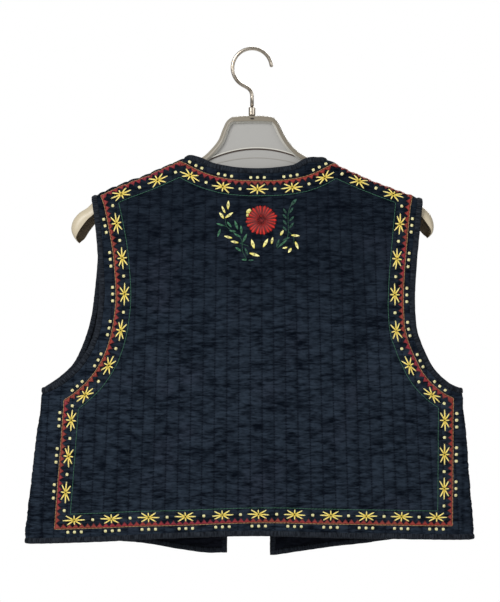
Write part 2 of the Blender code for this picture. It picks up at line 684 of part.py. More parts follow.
def build_hanger(collection, tools, plastic, metal):
    body = new_object("hanger_body", loft("hanger_body", rim_rings(), False), plastic, collection)
    joins = [
        new_object("hanger_web", web_mesh(), plastic, tools),
        new_object("hanger_ledge", ledge_mesh(), plastic, tools),
    ]
    bpy.ops.mesh.primitive_cube_add(size=1, location=SLOT_CENTRE)
    slot = bpy.context.object
    slot.name = "hanger_slot"
    slot.scale = SLOT_SIZE
    slot.users_collection[0].objects.unlink(slot)
    tools.objects.link(slot)
    for tool, operation in [(join, "UNION") for join in joins] + [(slot, "DIFFERENCE")]:
        tool.hide_render = True
        tool.display_type = "WIRE"
        cut = body.modifiers.new(tool.name, "BOOLEAN")
        cut.operation = operation
        cut.object = tool
        cut.solver = "EXACT"

    bpy.ops.mesh.primitive_cylinder_add(
        vertices=24,
        radius=FERRULE_RADIUS,
        depth=FERRULE_TOP - FERRULE_BOTTOM,
        location=(0, 0, (FERRULE_TOP + FERRULE_BOTTOM) / 2),
    )
    ferrule = bpy.context.object
    ferrule.name = "hanger_ferrule"
    ferrule.data.materials.append(metal)
    ferrule.users_collection[0].objects.unlink(ferrule)
    collection.objects.link(ferrule)
    edge = ferrule.modifiers.new("rounded edge", "BEVEL")
    edge.width = FERRULE_EDGE
    edge.segments = 2
    edge.limit_method = "ANGLE"

    new_object("hanger_hook", hook_curve(), metal, collection)


def hook_curve():
    """The bent wire: an open crook, then a swept neck down to the ferrule."""
    centre = WIRE_RADIUS - HOOK_RADIUS
    turns = np.radians(np.linspace(HOOK_TIP, HOOK_TURN, HOOK_STEPS))
    crook = [(HOOK_RADIUS * math.cos(t), centre + HOOK_RADIUS * math.sin(t)) for t in turns]
    start = np.array(crook[-1])
    end = np.array([0.0, HOOK_STRAIGHT])
    heading = np.array([-math.sin(turns[-1]), math.cos(turns[-1])])
    reach = SWEEP_REACH * np.linalg.norm(end - start)
    first = start + reach * heading
    second = end + np.array([0.0, reach])
    neck = []
    for t in np.linspace(0, 1, SWEEP_STEPS + 1)[1:]:
        rest = 1 - t
        point = rest ** 3 * start + 3 * rest ** 2 * t * first + 3 * rest * t ** 2 * second + t ** 3 * end
        neck.append(tuple(point))
    line = crook + neck + [(0.0, HOOK_FOOT)]
    curve = bpy.data.curves.new("hanger_hook", "CURVE")
    curve.dimensions = "3D"
    curve.bevel_depth = WIRE_RADIUS
    curve.bevel_resolution = 2
    curve.use_fill_caps = True
    spline = curve.splines.new("POLY")
    spline.points.add(len(line) - 1)
    for point, (x, z) in zip(spline.points, line):
        point.co = (x, 0.0, z, 1.0)
    return curve


def build():
    for old in list(bpy.data.objects):
        bpy.data.objects.remove(old, do_unlink=True)
    collection = bpy.data.collections.new(OBJECT_NAME)
    tools = bpy.data.collections.new("joining and cutting shapes")
    bpy.context.scene.collection.children.link(collection)
    bpy.context.scene.collection.children.link(tools)
    quilted = material("quilted navy cotton", NAVY, 0.85)
    binding = material("navy bias binding", NAVY_BINDING, 0.8)
    plastic = material("taupe plastic", TAUPE, 0.45)
    metal = material("satin metal", STEEL, 0.3, 1.0)
    build_cloth(collection, quilted, binding)
    build_hanger(collection, tools, plastic, metal)


build()
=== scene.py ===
"""A quilted, embroidered vest hung by its shoulders on a plastic hanger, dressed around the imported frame."""

from collections import namedtuple
import json
import math

import bmesh
import bpy
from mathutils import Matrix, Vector
import numpy as np

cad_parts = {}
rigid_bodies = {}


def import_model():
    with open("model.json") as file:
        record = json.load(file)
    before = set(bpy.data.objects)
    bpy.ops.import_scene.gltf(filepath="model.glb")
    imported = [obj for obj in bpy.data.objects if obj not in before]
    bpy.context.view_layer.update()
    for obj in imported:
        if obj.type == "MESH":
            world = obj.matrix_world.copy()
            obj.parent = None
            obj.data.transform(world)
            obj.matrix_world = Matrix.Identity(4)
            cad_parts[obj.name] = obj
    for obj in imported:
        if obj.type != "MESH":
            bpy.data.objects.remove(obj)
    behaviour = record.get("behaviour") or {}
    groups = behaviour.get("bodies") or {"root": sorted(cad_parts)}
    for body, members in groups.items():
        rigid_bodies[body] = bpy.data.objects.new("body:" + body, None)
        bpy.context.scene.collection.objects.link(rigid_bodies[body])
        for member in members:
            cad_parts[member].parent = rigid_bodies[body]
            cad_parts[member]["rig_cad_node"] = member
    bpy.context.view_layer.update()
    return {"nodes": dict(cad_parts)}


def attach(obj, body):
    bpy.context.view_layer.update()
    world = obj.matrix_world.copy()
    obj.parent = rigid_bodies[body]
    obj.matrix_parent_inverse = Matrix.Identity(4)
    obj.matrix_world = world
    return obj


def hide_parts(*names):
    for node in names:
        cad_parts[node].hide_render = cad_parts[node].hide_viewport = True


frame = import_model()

# The place it is shown in: a bare white studio. The camera stands square to the vest's back, level with its
# middle. Soft light comes from a large panel above and to the left, and a weaker one on the right.
FRAME_HEIGHT = 0.6923        # what the photograph's 602 rows span at the vest
CAMERA_AWAY = 2.2
VIEW_MIDDLE = (-0.0023, 0.0, -0.2883)
SENSOR = 36.0
FLOOR_LEVEL = -1.25

lens = bpy.data.cameras.new("camera")
lens.sensor_width = SENSOR
lens.lens = SENSOR * CAMERA_AWAY / FRAME_HEIGHT
camera = bpy.data.objects.new("camera", lens)
camera.location = (VIEW_MIDDLE[0], VIEW_MIDDLE[1] - CAMERA_AWAY, VIEW_MIDDLE[2])
camera.rotation_euler = (math.pi / 2, 0, 0)
bpy.context.collection.objects.link(camera)
bpy.context.scene.camera = camera
bpy.context.scene.view_settings.view_transform = "Standard"

Panel = namedtuple("Panel", "name place size watts")
for panel in (
    Panel("key light", (-1.0, -1.5, 0.65), 0.9, 42.0),
    Panel("side light", (1.7, -1.5, 0.0), 1.4, 16.0),
    Panel("back light", (0.4, 1.6, 0.75), 1.2, 36.0),
):
    light = bpy.data.lights.new(panel.name, "AREA")
    light.size = panel.size
    light.energy = panel.watts
    lamp = bpy.data.objects.new(panel.name, light)
    lamp.location = panel.place
    aim = Vector(VIEW_MIDDLE) - Vector(panel.place)
    lamp.rotation_euler = aim.to_track_quat("-Z", "Y").to_euler()
    bpy.context.collection.objects.link(lamp)


class Value:
    """A node socket that takes part in written sums."""

    def __init__(self, tree, socket):
        self.tree = tree
        self.socket = socket

    def maths(self, operation, *others):
        return add_node(self.tree, "ShaderNodeMath", {"operation": operation}, [self, *others])

    def __add__(self, other):
        return self.maths("ADD", other)

    def __sub__(self, other):
        return self.maths("SUBTRACT", other)

    def __rsub__(self, other):
        return add_node(self.tree, "ShaderNodeMath", {"operation": "SUBTRACT"}, [other, self])

    def __mul__(self, other):
        return self.maths("MULTIPLY", other)

    __radd__ = __add__
    __rmul__ = __mul__


def add_node(tree, kind, settings, sockets, output=0):
    """One node with its settings, its inputs by place or name, and the wanted output as a Value."""
    node = tree.nodes.new(kind)
    for name, setting in settings.items():
        setattr(node, name, setting)
    places = sockets.items() if isinstance(sockets, dict) else enumerate(sockets)
    for place, given in places:
        if isinstance(given, Value):
            tree.links.new(given.socket, node.inputs[place])
        elif given is not None:
            node.inputs[place].default_value = given
    return Value(tree, node.outputs[output])


def linear(red, green, blue):
    """A colour read as eight-bit screen numbers, as light."""
    return tuple(((c / 255 + 0.055) / 1.055) ** 2.4 if c > 10 else c / 255 / 12.92 for c in (red, green, blue))


def new_finish(name, **constants):
    """A material with its constants set, its node tree and its shader."""
    made = bpy.data.materials.new(name)
    made.use_nodes = True
    tree = made.node_tree
    shader = tree.nodes["Principled BSDF"]
    for socket, given in constants.items():
        shader.inputs[socket.replace("_", " ")].default_value = given
    return made, tree, shader


def mixed(tree, factor, first, second):
    """A colour between two others."""
    sockets = {0: factor, 6: first if isinstance(first, Value) else (*first, 1.0),
               7: second if isinstance(second, Value) else (*second, 1.0)}
    return add_node(tree, "ShaderNodeMix", {"data_type": "RGBA"}, sockets, 2)


def ranged(value, low, high):
    """0 below low, 1 above high, smooth between."""
    settings = {"interpolation_type": "SMOOTHSTEP"}
    return add_node(value.tree, "ShaderNodeMapRange", settings, {0: value, 1: low, 2: high, 3: 0.0, 4: 1.0})


def parted(vector):
    """The three numbers of a vector."""
    first = add_node(vector.tree, "ShaderNodeSeparateXYZ", {}, [vector])
    return [Value(vector.tree, part) for part in first.socket.node.outputs]


def bumped(height, strength, distance):
    return add_node(height.tree, "ShaderNodeBump", {}, {"Strength": strength, "Distance": distance, "Height": height})


def feed(shader, **values):
    """Link what varies over the surface into the shader's sockets."""
    for name, value in values.items():
        value.tree.links.new(value.socket, shader.inputs[name.replace("_", " ")])


def made_up(name, work, finishes):
    """An object in the scene from finished bmesh work, in its finishes."""
    mesh = bpy.data.meshes.new(name)
    work.to_mesh(mesh)
    work.free()
    for finish in finishes:
        mesh.materials.append(finish)
    made = bpy.data.objects.new(name, mesh)
    bpy.context.collection.objects.link(made)
    return made


world = bpy.data.worlds.new("studio")
bpy.context.scene.world = world
world.use_nodes = True
sky = world.node_tree
SEEN_WHITE = (1.0, 1.0, 1.0)
FILL_LIGHT = (0.40, 0.40, 0.40)
seen = add_node(sky, "ShaderNodeLightPath", {}, [], "Is Camera Ray")
tone = mixed(sky, seen, FILL_LIGHT, SEEN_WHITE)
feed(sky.nodes["Background"], Color=tone)

FLOOR_RADIUS = 1.3
FLOOR_MIDDLE = (0.0, 0.2, FLOOR_LEVEL)
FLOOR_GREYS = ((0.80, 0.80, 0.80), (0.86, 0.86, 0.86))
floor_work = bmesh.new()
bmesh.ops.create_circle(floor_work, cap_ends=True, segments=64, radius=FLOOR_RADIUS)
bmesh.ops.translate(floor_work, verts=floor_work.verts, vec=FLOOR_MIDDLE)
floor_finish, floor_tree, floor_shader = new_finish("pale floor", Roughness=0.8)
grain = add_node(floor_tree, "ShaderNodeTexNoise", {}, {"Scale": 3.0})
feed(floor_shader, Base_Color=mixed(floor_tree, grain, *FLOOR_GREYS))
floor = made_up("studio_floor", floor_work, [floor_finish])


# The back: one piece of navy cotton, padded and sewn down in upright channels about 13.5 mm wide. The thread
# has drawn the cloth in, so each channel is a row of small level puckers. It hangs as a flat tube that the
# hanger's arms hold open at the shoulders, and its sides are folded round to meet the fronts.
WALL = 0.0032                # from the inside of the hollow to the cloth's face, at a stitched line
SHELL = 0.0017               # the quilted cloth itself
SEAM_GAP = 0.0003            # between the edges of two cut pieces
SEAM_LAP = 0.00015           # how far each cloth reaches past the middle, where the two are sewn together
BINDING_WIDTH = 0.0068
BOUND_EDGE = BINDING_WIDTH + SEAM_GAP
PADDING = 0.0013             # how far a channel's middle stands out
PUCKER = 0.0013              # how far one pucker stands out of the channel
TUCK = 0.0025                # how far the cloth runs on inside its bindings
CHANNEL_LINE = -0.0020       # the stitched line that hangs plumb
CHANNEL_AT = 0.01323         # pitch of the channels at CHANNEL_AT_HEIGHT; it widens towards the hem
CHANNEL_AT_HEIGHT = -0.3217
CHANNEL_SPREAD = 0.0034      # how much wider the channels are a metre further down
CHANNEL_SHARES = (0.0, 0.12, 0.34, 0.66, 0.88)   # columns of the mesh across one channel
ROW = 0.0019                 # of the mesh, down a channel
SIDE_SEAMS = (-0.2404, 0.2404)
UNDERARM = -0.392            # below this the side is a fold, not a bound edge
NECK_SEAM = 0.004            # beside each neck point the back's binding meets the shoulder
HEM_READ_AT = 0.25           # how far from the middle the hem's height at the side folds is read

Shoulder = namedtuple("Shoulder", "across height")
SHOULDERS = np.array((
    Shoulder(-0.1967, -0.1735), Shoulder(-0.1840, -0.1690), Shoulder(-0.1518, -0.1552),
    Shoulder(-0.1242, -0.1450), Shoulder(-0.0966, -0.1328), Shoulder(-0.0713, -0.1216),
    Shoulder(0.0000, -0.0920), Shoulder(0.0817, -0.1239), Shoulder(0.1035, -0.1354),
    Shoulder(0.1311, -0.1480), Shoulder(0.1587, -0.1588), Shoulder(0.1863, -0.1687),
    Shoulder(0.1990, -0.1725),
))
RIDGE_DROP = 0.0035          # from the shoulder line down to the inside of the cloth

SideFold = namedtuple("SideFold", "height left right")
SIDE_FOLDS = np.array((
    SideFold(-0.570, -0.2615, 0.2558), SideFold(-0.520, -0.2565, 0.2520), SideFold(-0.474, -0.2505, 0.2485),
    SideFold(-0.426, -0.2445, 0.2448), SideFold(-0.390, -0.2404, 0.2408),
))

Armhole = namedtuple("Armhole", "height left right front_left")
ARMHOLES = np.array((
    Armhole(-0.165, -0.1845, 0.1962, -0.1845), Armhole(-0.184, -0.1817, 0.1944, -0.1817),
    Armhole(-0.218, -0.1777, 0.1909, -0.1780), Armhole(-0.252, -0.1754, 0.1878, -0.1795),
    Armhole(-0.279, -0.1745, 0.1863, -0.1822), Armhole(-0.301, -0.1762, 0.1865, -0.1850),
    Armhole(-0.322, -0.1797, 0.1886, -0.1898), Armhole(-0.336, -0.1845, 0.1932, -0.1946),
    Armhole(-0.349, -0.1915, 0.1990, -0.2000), Armhole(-0.363, -0.2018, 0.2062, -0.2082),
    Armhole(-0.370, -0.2092, 0.2118, -0.2151), Armhole(-0.377, -0.2180, 0.2190, -0.2235),
    Armhole(-0.384, -0.2290, 0.2285, -0.2335), Armhole(-0.389, -0.2404, 0.2408, -0.2404),
))

Hem = namedtuple("Hem", "across height")
HEMS = {
    "back": np.array((
        Hem(-0.2620, -0.5672), Hem(-0.1860, -0.5640), Hem(-0.0900, -0.5592), Hem(0.0000, -0.5566),
        Hem(0.1000, -0.5590), Hem(0.1860, -0.5608), Hem(0.2570, -0.5624),
    )),
    "front": np.array((
        Hem(-0.2620, -0.5672), Hem(-0.1860, -0.5650), Hem(-0.1220, -0.5690), Hem(-0.0850, -0.5755),
        Hem(-0.0480, -0.5800), Hem(-0.0200, -0.5790), Hem(0.0150, -0.5832), Hem(0.0530, -0.5785),
        Hem(0.0900, -0.5732), Hem(0.1270, -0.5690), Hem(0.1630, -0.5640), Hem(0.2570, -0.5624),
    )),
}

BACK_NECK_LOW = (0.0046, -0.1362)
BACK_NECK_RISE = (2.53, 2.07)
NECK_POINTS = (-0.0774, 0.0858)
NECK_CORNER_DROP = 0.25      # the neckline falls off from its points at least as steeply
NeckTurn = namedtuple("NeckTurn", "across width rise")
NECK_TURNS = (NeckTurn(-0.062, 0.010, 0.0022), NeckTurn(0.066, 0.011, 0.0052))
FRONT_NECK_DROP = 0.076      # from a neck point down to the top of a front's edge
FRONT_NECK_CURVE = 1.7
FRONT_EDGES = (-0.0288, 0.0207)

Depth = namedtuple("Depth", "height half")
DEPTHS = np.array((Depth(-0.590, 0.0145), Depth(-0.450, 0.0180), Depth(-0.320, 0.0180),
                   Depth(-0.200, 0.0150), Depth(-0.120, 0.0110)))
FLATNESS = 3.0               # of the hollow's oval; 2 would be an ellipse
SHOULDER_BLEND = 0.085       # how far below the ridge the hollow has grown from the arm's form to the body's
FULL_FOLD_DEPTH = 0.009      # the folds fade out where the hollow's half depth is less
RIDGE_ACROSS = (0.050, 0.190)                    # the shoulder's curve over the arm, near the neck and at the tip
RIDGE_HALF = (0.0068, 0.0118)
RIDGE_RISE = (0.0068, 0.0112)

FINE_FOLD = 0.007            # narrower folds than this are drawn creases

Waver = namedtuple("Waver", "rise wide high")
LONG_WAVER = Waver(0.012, 0.055, 0.045)          # how far the rows of puckers run up and down, over what length
SHORT_WAVER = Waver(0.005, 0.016, 0.022)
FRONT_SHIFT = 41.0           # so that the fronts don't repeat the back's puckers
SMALL_PUCKER, OWN_PUCKER, WIDE_PUCKER = 0.0033, 0.0046, 0.0062      # their heights down a channel
PUCKER_SHARES = (0.42, 0.32, 0.26)
PUCKER_MIDDLE = 0.55
BROAD_HIGH = 0.027           # the padding is fuller in places about this long
SEAM_WIDE, SEAM_DEEP = 0.0016, 0.0010            # the groove of a side seam
# Painted light and shade from the drawn creases goes into the cloth's colour with this weight.
DRAG_LIGHT = 240.0           # how much light a metre of drawn crease would catch
LINING_PUCKER = 0.55         # the share of the puckers that shows inside

# Soft folds and drawn creases in the hung cloth
Fold = namedtuple("Fold", "wall across height slant length width depth")
FOLDS = (
    Fold("back", -0.105, -0.300, 62, 0.085, 0.016, -0.0022),
    Fold("back", 0.118, -0.262, 118, 0.075, 0.014, -0.0024),
    Fold("back", 0.030, -0.290, 35, 0.060, 0.012, -0.0016),
    Fold("back", -0.035, -0.405, 84, 0.110, 0.020, 0.0020),
    Fold("back", 0.150, -0.440, 100, 0.100, 0.018, -0.0020),
    Fold("back", -0.150, -0.470, 80, 0.080, 0.016, 0.0018),
    Fold("back", 0.070, -0.500, 92, 0.060, 0.022, 0.0018),
    Fold("front", -0.110, -0.290, 66, 0.090, 0.017, -0.0024),
    Fold("front", 0.116, -0.300, 112, 0.085, 0.016, -0.0022),
    Fold("front", -0.080, -0.470, 86, 0.100, 0.022, 0.0026),
    Fold("front", 0.085, -0.450, 95, 0.110, 0.021, 0.0024),
    Fold("front", -0.170, -0.440, 78, 0.075, 0.016, -0.0018),
    Fold("front", 0.175, -0.480, 101, 0.070, 0.017, -0.0020),
    Fold("back", -0.085, -0.279, 36, 0.034, 0.0050, -0.0012),
    Fold("back", -0.062, -0.290, 34, 0.036, 0.0050, 0.0009),
    Fold("back", 0.012, -0.262, 158, 0.018, 0.0040, -0.0010),
    Fold("back", 0.052, -0.332, 142, 0.022, 0.0045, -0.0009),
    Fold("back", 0.138, -0.197, 131, 0.016, 0.0038, -0.0012),
    Fold("back", 0.108, -0.182, 174, 0.020, 0.0032, -0.0009),
    Fold("back", 0.128, -0.330, 58, 0.040, 0.0060, -0.0010),
    Fold("back", 0.146, -0.356, 52, 0.046, 0.0055, 0.0010),
    Fold("back", -0.138, -0.372, 128, 0.034, 0.0055, -0.0009),
    Fold("back", 0.020, -0.420, 8, 0.060, 0.0060, 0.0008),
    Fold("back", -0.112, -0.215, 118, 0.040, 0.0060, -0.0010),
    Fold("front", -0.118, -0.250, 122, 0.040, 0.0060, -0.0012),
    Fold("front", 0.122, -0.246, 60, 0.042, 0.0060, -0.0011),
    Fold("front", -0.098, -0.392, 40, 0.050, 0.0060, 0.0010),
    Fold("front", 0.128, -0.400, 134, 0.052, 0.0065, -0.0010),
)


def eased(x, rows, column=1):
    """A value read from a table by its first column, along a smooth curve through the rows."""
    xs, ys = rows[:, 0], rows[:, column]
    slopes = np.gradient(ys, xs)
    i = np.clip(np.searchsorted(xs, x) - 1, 0, len(xs) - 2)
    wide = xs[i + 1] - xs[i]
    t = np.clip((x - xs[i]) / wide, 0.0, 1.0)
    first = (1 + 2 * t) * (1 - t) ** 2 * ys[i] + t * (1 - t) ** 2 * wide * slopes[i]
    return first + t * t * (3 - 2 * t) * ys[i + 1] - t * t * (1 - t) * wide * slopes[i + 1]


def chord_lengths(points):
    """How far along a line each of its points is."""
    return np.concatenate([[0], np.cumsum(np.linalg.norm(np.diff(points, axis=0), axis=1))])


def directions(vectors):
    return vectors / np.linalg.norm(vectors, axis=-1, keepdims=True)


def smooth(t):
    t = np.clip(t, 0.0, 1.0)
    return t * t * (3.0 - 2.0 * t)


def ridge_height(x):
    """Inside of the cloth along the shoulder."""
    return eased(x, SHOULDERS) - RIDGE_DROP


def fold_across(z, left):
    """Inside of the cloth at a side fold, as a distance from the middle."""
    return np.abs(np.interp(z, SIDE_FOLDS[:, 0], SIDE_FOLDS[:, 1 if left else 2])) - WALL


def square_depth(x, z):
    """Square of the half depth of the hollow; it falls to zero at the ridges and the side folds."""
    half = np.interp(np.abs(x), RIDGE_ACROSS, RIDGE_HALF)
    rise = np.interp(np.abs(x), RIDGE_ACROSS, RIDGE_RISE)
    below = ridge_height(x) - z
    turn = np.maximum(1.0 - below / rise, 0.0)
    fold = np.where(x < 0, fold_across(z, True), fold_across(z, False))
    opened = smooth(below / SHOULDER_BLEND)
    body = eased(z, DEPTHS) ** 2 * (1.0 - (np.abs(x) / fold) ** FLATNESS)
    return (half ** 2 * (1.0 - opened) + body * opened) * (1.0 - turn ** 2)


def soft_folds(x, z, wall, widest=1.0):
    total = np.zeros_like(x)
    for fold in FOLDS:
        if fold.wall == wall and fold.width < widest:
            angle = math.radians(fold.slant)
            along = (x - fold.across) * math.cos(angle) + (z - fold.height) * math.sin(angle)
            aside = (z - fold.height) * math.cos(angle) - (x - fold.across) * math.sin(angle)
            total += fold.depth * np.exp(-(along / fold.length) ** 2 - (aside / fold.width) ** 2)
    return total * smooth(square_depth(x, z) / FULL_FOLD_DEPTH ** 2)


def hollow(x, z, wall):
    """Points on the inside of a wall, and the directions out of it."""
    step = 1e-5
    push = soft_folds(x, z, wall)
    half = np.sqrt(np.maximum(square_depth(x, z), 0.0))
    slope_x = (square_depth(x + step, z) - square_depth(x - step, z)) / (2 * step)
    slope_z = (square_depth(x, z + step) - square_depth(x, z - step)) / (2 * step)
    push_x = (soft_folds(x + step, z, wall) - soft_folds(x - step, z, wall)) / (2 * step)
    push_z = (soft_folds(x, z + step, wall) - soft_folds(x, z - step, wall)) / (2 * step)
    side = -1.0 if wall == "back" else 1.0
    points = np.stack([x, side * (half + push - SEAM_LAP), z], axis=-1)
    out = np.stack([-slope_x - 2 * half * push_x, side * 2 * half, -slope_z - 2 * half * push_z], axis=-1)
    return points, directions(out)


def scattered(a, b):
    """Smooth random values from 0 to 1, the same on every run."""
    i, j = np.floor(a), np.floor(b)

    def corner(p, q):
        return np.mod(np.abs(np.sin(p * 127.1 + q * 311.7)) * 43758.5453, 1.0)

    f, g = smooth(a - i), smooth(b - j)
    low = corner(i, j) * (1 - f) + corner(i + 1, j) * f
    high = corner(i, j + 1) * (1 - f) + corner(i + 1, j + 1) * f
    return low * (1 - g) + high * g


def channel_place(x, z):
    """Which channel a point is in, counted from the plumb line, with its share across the channel."""
    return (x - CHANNEL_LINE) / (CHANNEL_AT - CHANNEL_SPREAD * (z - CHANNEL_AT_HEIGHT))


def quilting(x, z, wall):
    """How far the padding and its puckers stand out of the stitched lines, and how much light they catch, as
    painted light and shade for the cloth's colour: crests, puckers and fuller padding lighter, seam grooves
    darker, drawn creases lighter and darker.
    """
    place = channel_place(x, z)
    number = np.floor(place)
    shift = 0.0 if wall == "back" else FRONT_SHIFT
    long, short = LONG_WAVER, SHORT_WAVER
    crest = np.abs(np.sin(np.pi * (place - number))) ** 0.6
    level = z + long.rise * scattered(x / long.wide + shift, z / long.high)
    level = level + short.rise * scattered(x / short.wide + shift, z / short.high)
    small = scattered(place * 1.2 + shift, level / SMALL_PUCKER)
    own = scattered(number * 7.3 + shift, level / OWN_PUCKER + 5.1 * np.sin(number * 2.4))
    wide = scattered(place * 0.38 + shift, level / WIDE_PUCKER)
    crease = np.minimum(np.abs(2 * wide - 1) * 2.4, 1.0)
    broad = scattered(place * 0.35 + shift, z / BROAD_HIGH)
    drawn = PUCKER_SHARES[0] * small + PUCKER_SHARES[1] * own + PUCKER_SHARES[2] * crease - PUCKER_MIDDLE
    seam = sum(np.exp(-((x - line) / SEAM_WIDE) ** 2) for line in SIDE_SEAMS)
    drag = soft_folds(x, z, wall, FINE_FOLD)
    height = crest * PADDING * (0.6 + 0.6 * broad) + 1.6 * PUCKER * drawn - SEAM_DEEP * seam
    caught = 0.5 + 0.10 * (crest - 0.7) + 1.25 * drawn + 0.22 * (broad - 0.5) - 0.4 * seam + DRAG_LIGHT * drag
    return height, np.clip(caught, 0.0, 1.0)


def cloth_face(x, z, wall, share=1.0):
    """Points on the cloth's outer face, and the directions out of it."""
    points, out = hollow(x, z, wall)
    return points + out * (WALL + share * quilting(x, z, wall)[0])[..., None], out


def cloth_lining(x, z, wall, share):
    points, out = hollow(x, z, wall)
    return points + out * (WALL - SHELL + LINING_PUCKER * share * quilting(x, z, wall)[0])[..., None]


def inset(points, distance):
    """A line moved to its right-hand side, point by point."""
    along = directions(np.gradient(points, axis=0))
    return points + distance * np.stack([along[:, 1], -along[:, 0]], axis=1)


def armhole_line(wall, left, reach=BOUND_EDGE):
    """A line that far in from the bound edge of an armhole, from the shoulder down to the side fold."""
    column = 3 if wall == "front" and left else (1 if left else 2)
    rows = ARMHOLES[:, [0, column]]
    chords = chord_lengths(rows)
    steps = np.linspace(0, chords[-1], 120)
    z = eased(steps, np.stack([chords, rows[:, 0]], axis=1))
    x = eased(steps, np.stack([chords, rows[:, 1]], axis=1))
    line = np.stack([x, z], axis=1)
    return inset(line, -reach if left else reach)


def hem_height(x, wall, tuck=0.0):
    return eased(x, HEMS[wall]) + BOUND_EDGE - tuck


def neckline(x, wall):
    """The cloth's upper edge between the armholes: the shoulder line, or the neckline."""
    left, right = NECK_POINTS
    ridge = ridge_height(x)
    if wall == "back":
        rise = np.where(x < BACK_NECK_LOW[0], *BACK_NECK_RISE)
        curve = BACK_NECK_LOW[1] + rise * (x - BACK_NECK_LOW[0]) ** 2 - 1.05 * BOUND_EDGE
        for turn in NECK_TURNS:
            curve = curve + turn.rise * np.exp(-((x - turn.across) / turn.width) ** 2)
        inner = np.minimum(curve, ridge - NECK_CORNER_DROP * np.minimum(x - left, right - x))
    else:
        neck = np.where(x < 0, left, right)
        edge = np.where(x < 0, FRONT_EDGES[0] - BOUND_EDGE, FRONT_EDGES[1] + BOUND_EDGE)
        share = np.clip((x - neck) / (edge - neck), 0.0, 1.0)
        inner = ridge_height(neck) - FRONT_NECK_DROP * (1.0 - (1.0 - share) ** FRONT_NECK_CURVE)
    return np.where((x <= left) | (x >= right), ridge, inner)


def stacked(*lines):
    return np.concatenate([np.stack(np.broadcast_arrays(x, z), axis=1) for x, z in lines])


def side_line(wall, left, tuck=0.0):
    """From the shoulder down the armhole, then down the side fold to the hem."""
    arm = armhole_line(wall, left, BOUND_EDGE - tuck)
    arm = arm[arm[:, 1] < ridge_height(arm[:, 0]) - 1e-4]
    top = [arm[0, 0], float(ridge_height(arm[0, 0]))]
    side = -1.0 if left else 1.0
    arm[-1, 0] = side * float(fold_across(arm[-1, 1], left))
    low = float(hem_height(side * HEM_READ_AT, wall, tuck))
    z = np.linspace(arm[-1, 1], low, 60)[1:]
    return np.concatenate([[top], arm, np.stack([side * fold_across(z, left), z], axis=1)])


def front_edge_line(left, tuck=0.0):
    """Up a front's edge, then along its neckline to the neck point."""
    edge = FRONT_EDGES[0] - BOUND_EDGE if left else FRONT_EDGES[1] + BOUND_EDGE
    neck = NECK_POINTS[0 if left else 1]
    low, top = float(hem_height(edge, "front", tuck)), float(neckline(np.array([edge]), "front")[0])
    x = np.linspace(edge, neck, 60)
    line = stacked((edge, np.linspace(low, top, 120)[:-1]), (x, neckline(x, "front")))
    line[-1, 1] = ridge_height(neck)
    line = inset(line, tuck if left else -tuck)
    line[:, 1] = np.minimum(line[:, 1], ridge_height(line[:, 0]))
    return line


def cloth_outline(piece, tuck=0.0):
    """The cut edge of a panel as it hangs, anticlockwise seen from behind the vest, and its bound edges."""
    wall = "back" if piece == "back_panel" else "front"
    left = side_line(wall, True, tuck)
    right = side_line(wall, False, tuck)[::-1]
    if wall == "back":
        hem_x = np.linspace(left[-1, 0], right[0, 0], 240)
        top_x = np.linspace(right[-1, 0], left[0, 0], 240)
        top = np.minimum(neckline(top_x, wall) + tuck, ridge_height(top_x))
        hem, neck = stacked((hem_x, hem_height(hem_x, wall, tuck))), stacked((top_x, top))
        inner = (top_x > NECK_POINTS[0] + NECK_SEAM) & (top_x < NECK_POINTS[1] - NECK_SEAM)
        edges = [hem, right[right[:, 1] > UNDERARM], neck[inner], left[left[:, 1] > UNDERARM]]
        return np.concatenate([hem, right, neck, left]), np.concatenate(edges)
    is_left = piece == "front_left"
    edge_line = front_edge_line(is_left, tuck)
    hem_ends = (left[-1, 0], edge_line[0, 0]) if is_left else (edge_line[0, 0], right[0, 0])
    ridge_ends = (edge_line[-1, 0], left[0, 0]) if is_left else (right[-1, 0], edge_line[-1, 0])
    hem_x, ridge_x = np.linspace(*hem_ends, 150), np.linspace(*ridge_ends, 60)
    hem, ridge = stacked((hem_x, hem_height(hem_x, wall, tuck))), stacked((ridge_x, ridge_height(ridge_x)))
    parts = [hem, edge_line, ridge, left] if is_left else [hem, right, ridge, edge_line[::-1]]
    side = left if is_left else right
    return np.concatenate(parts), np.concatenate([hem, edge_line, side[side[:, 1] > UNDERARM]])


def inside(points, outline):
    """Which points lie inside a closed outline."""
    found = np.zeros(len(points), bool)
    for (ax, az), (bx, bz) in zip(outline, np.roll(outline, -1, axis=0)):
        if az == bz:
            continue
        spans = (points[:, 1] > min(az, bz)) & (points[:, 1] <= max(az, bz))
        found ^= spans & (points[:, 0] < ax + (points[:, 1] - az) * (bx - ax) / (bz - az))
    return found


def nearest_on(points, outline):
    """The nearest place on an outline to each point."""
    start, run = outline, np.roll(outline, -1, axis=0) - outline
    length = np.maximum((run ** 2).sum(axis=1), 1e-16)
    share = np.clip(((points[:, None] - start) * run).sum(axis=2) / length, 0.0, 1.0)
    places = start + share[..., None] * run
    best = ((places - points[:, None]) ** 2).sum(axis=2).argmin(axis=1)
    return places[np.arange(len(points)), best]


def vertex_array(work):
    return np.array([v.co[:] for v in work.verts])


JOIN_REACH = 0.0004          # an edge this close to a fold or a ridge is sewn to the cloth on its other side
CUT_MARGIN = 0.004           # how far the sheet reaches past the outline before it is trimmed
SHARP_TURN = 0.0095          # where the hollow's half depth is less, the cloth turns fast and its mesh is finer
FLAT_EDGE, FULL_QUILT = 0.001, 0.006             # the puckers grow from nothing at a bound edge over this width


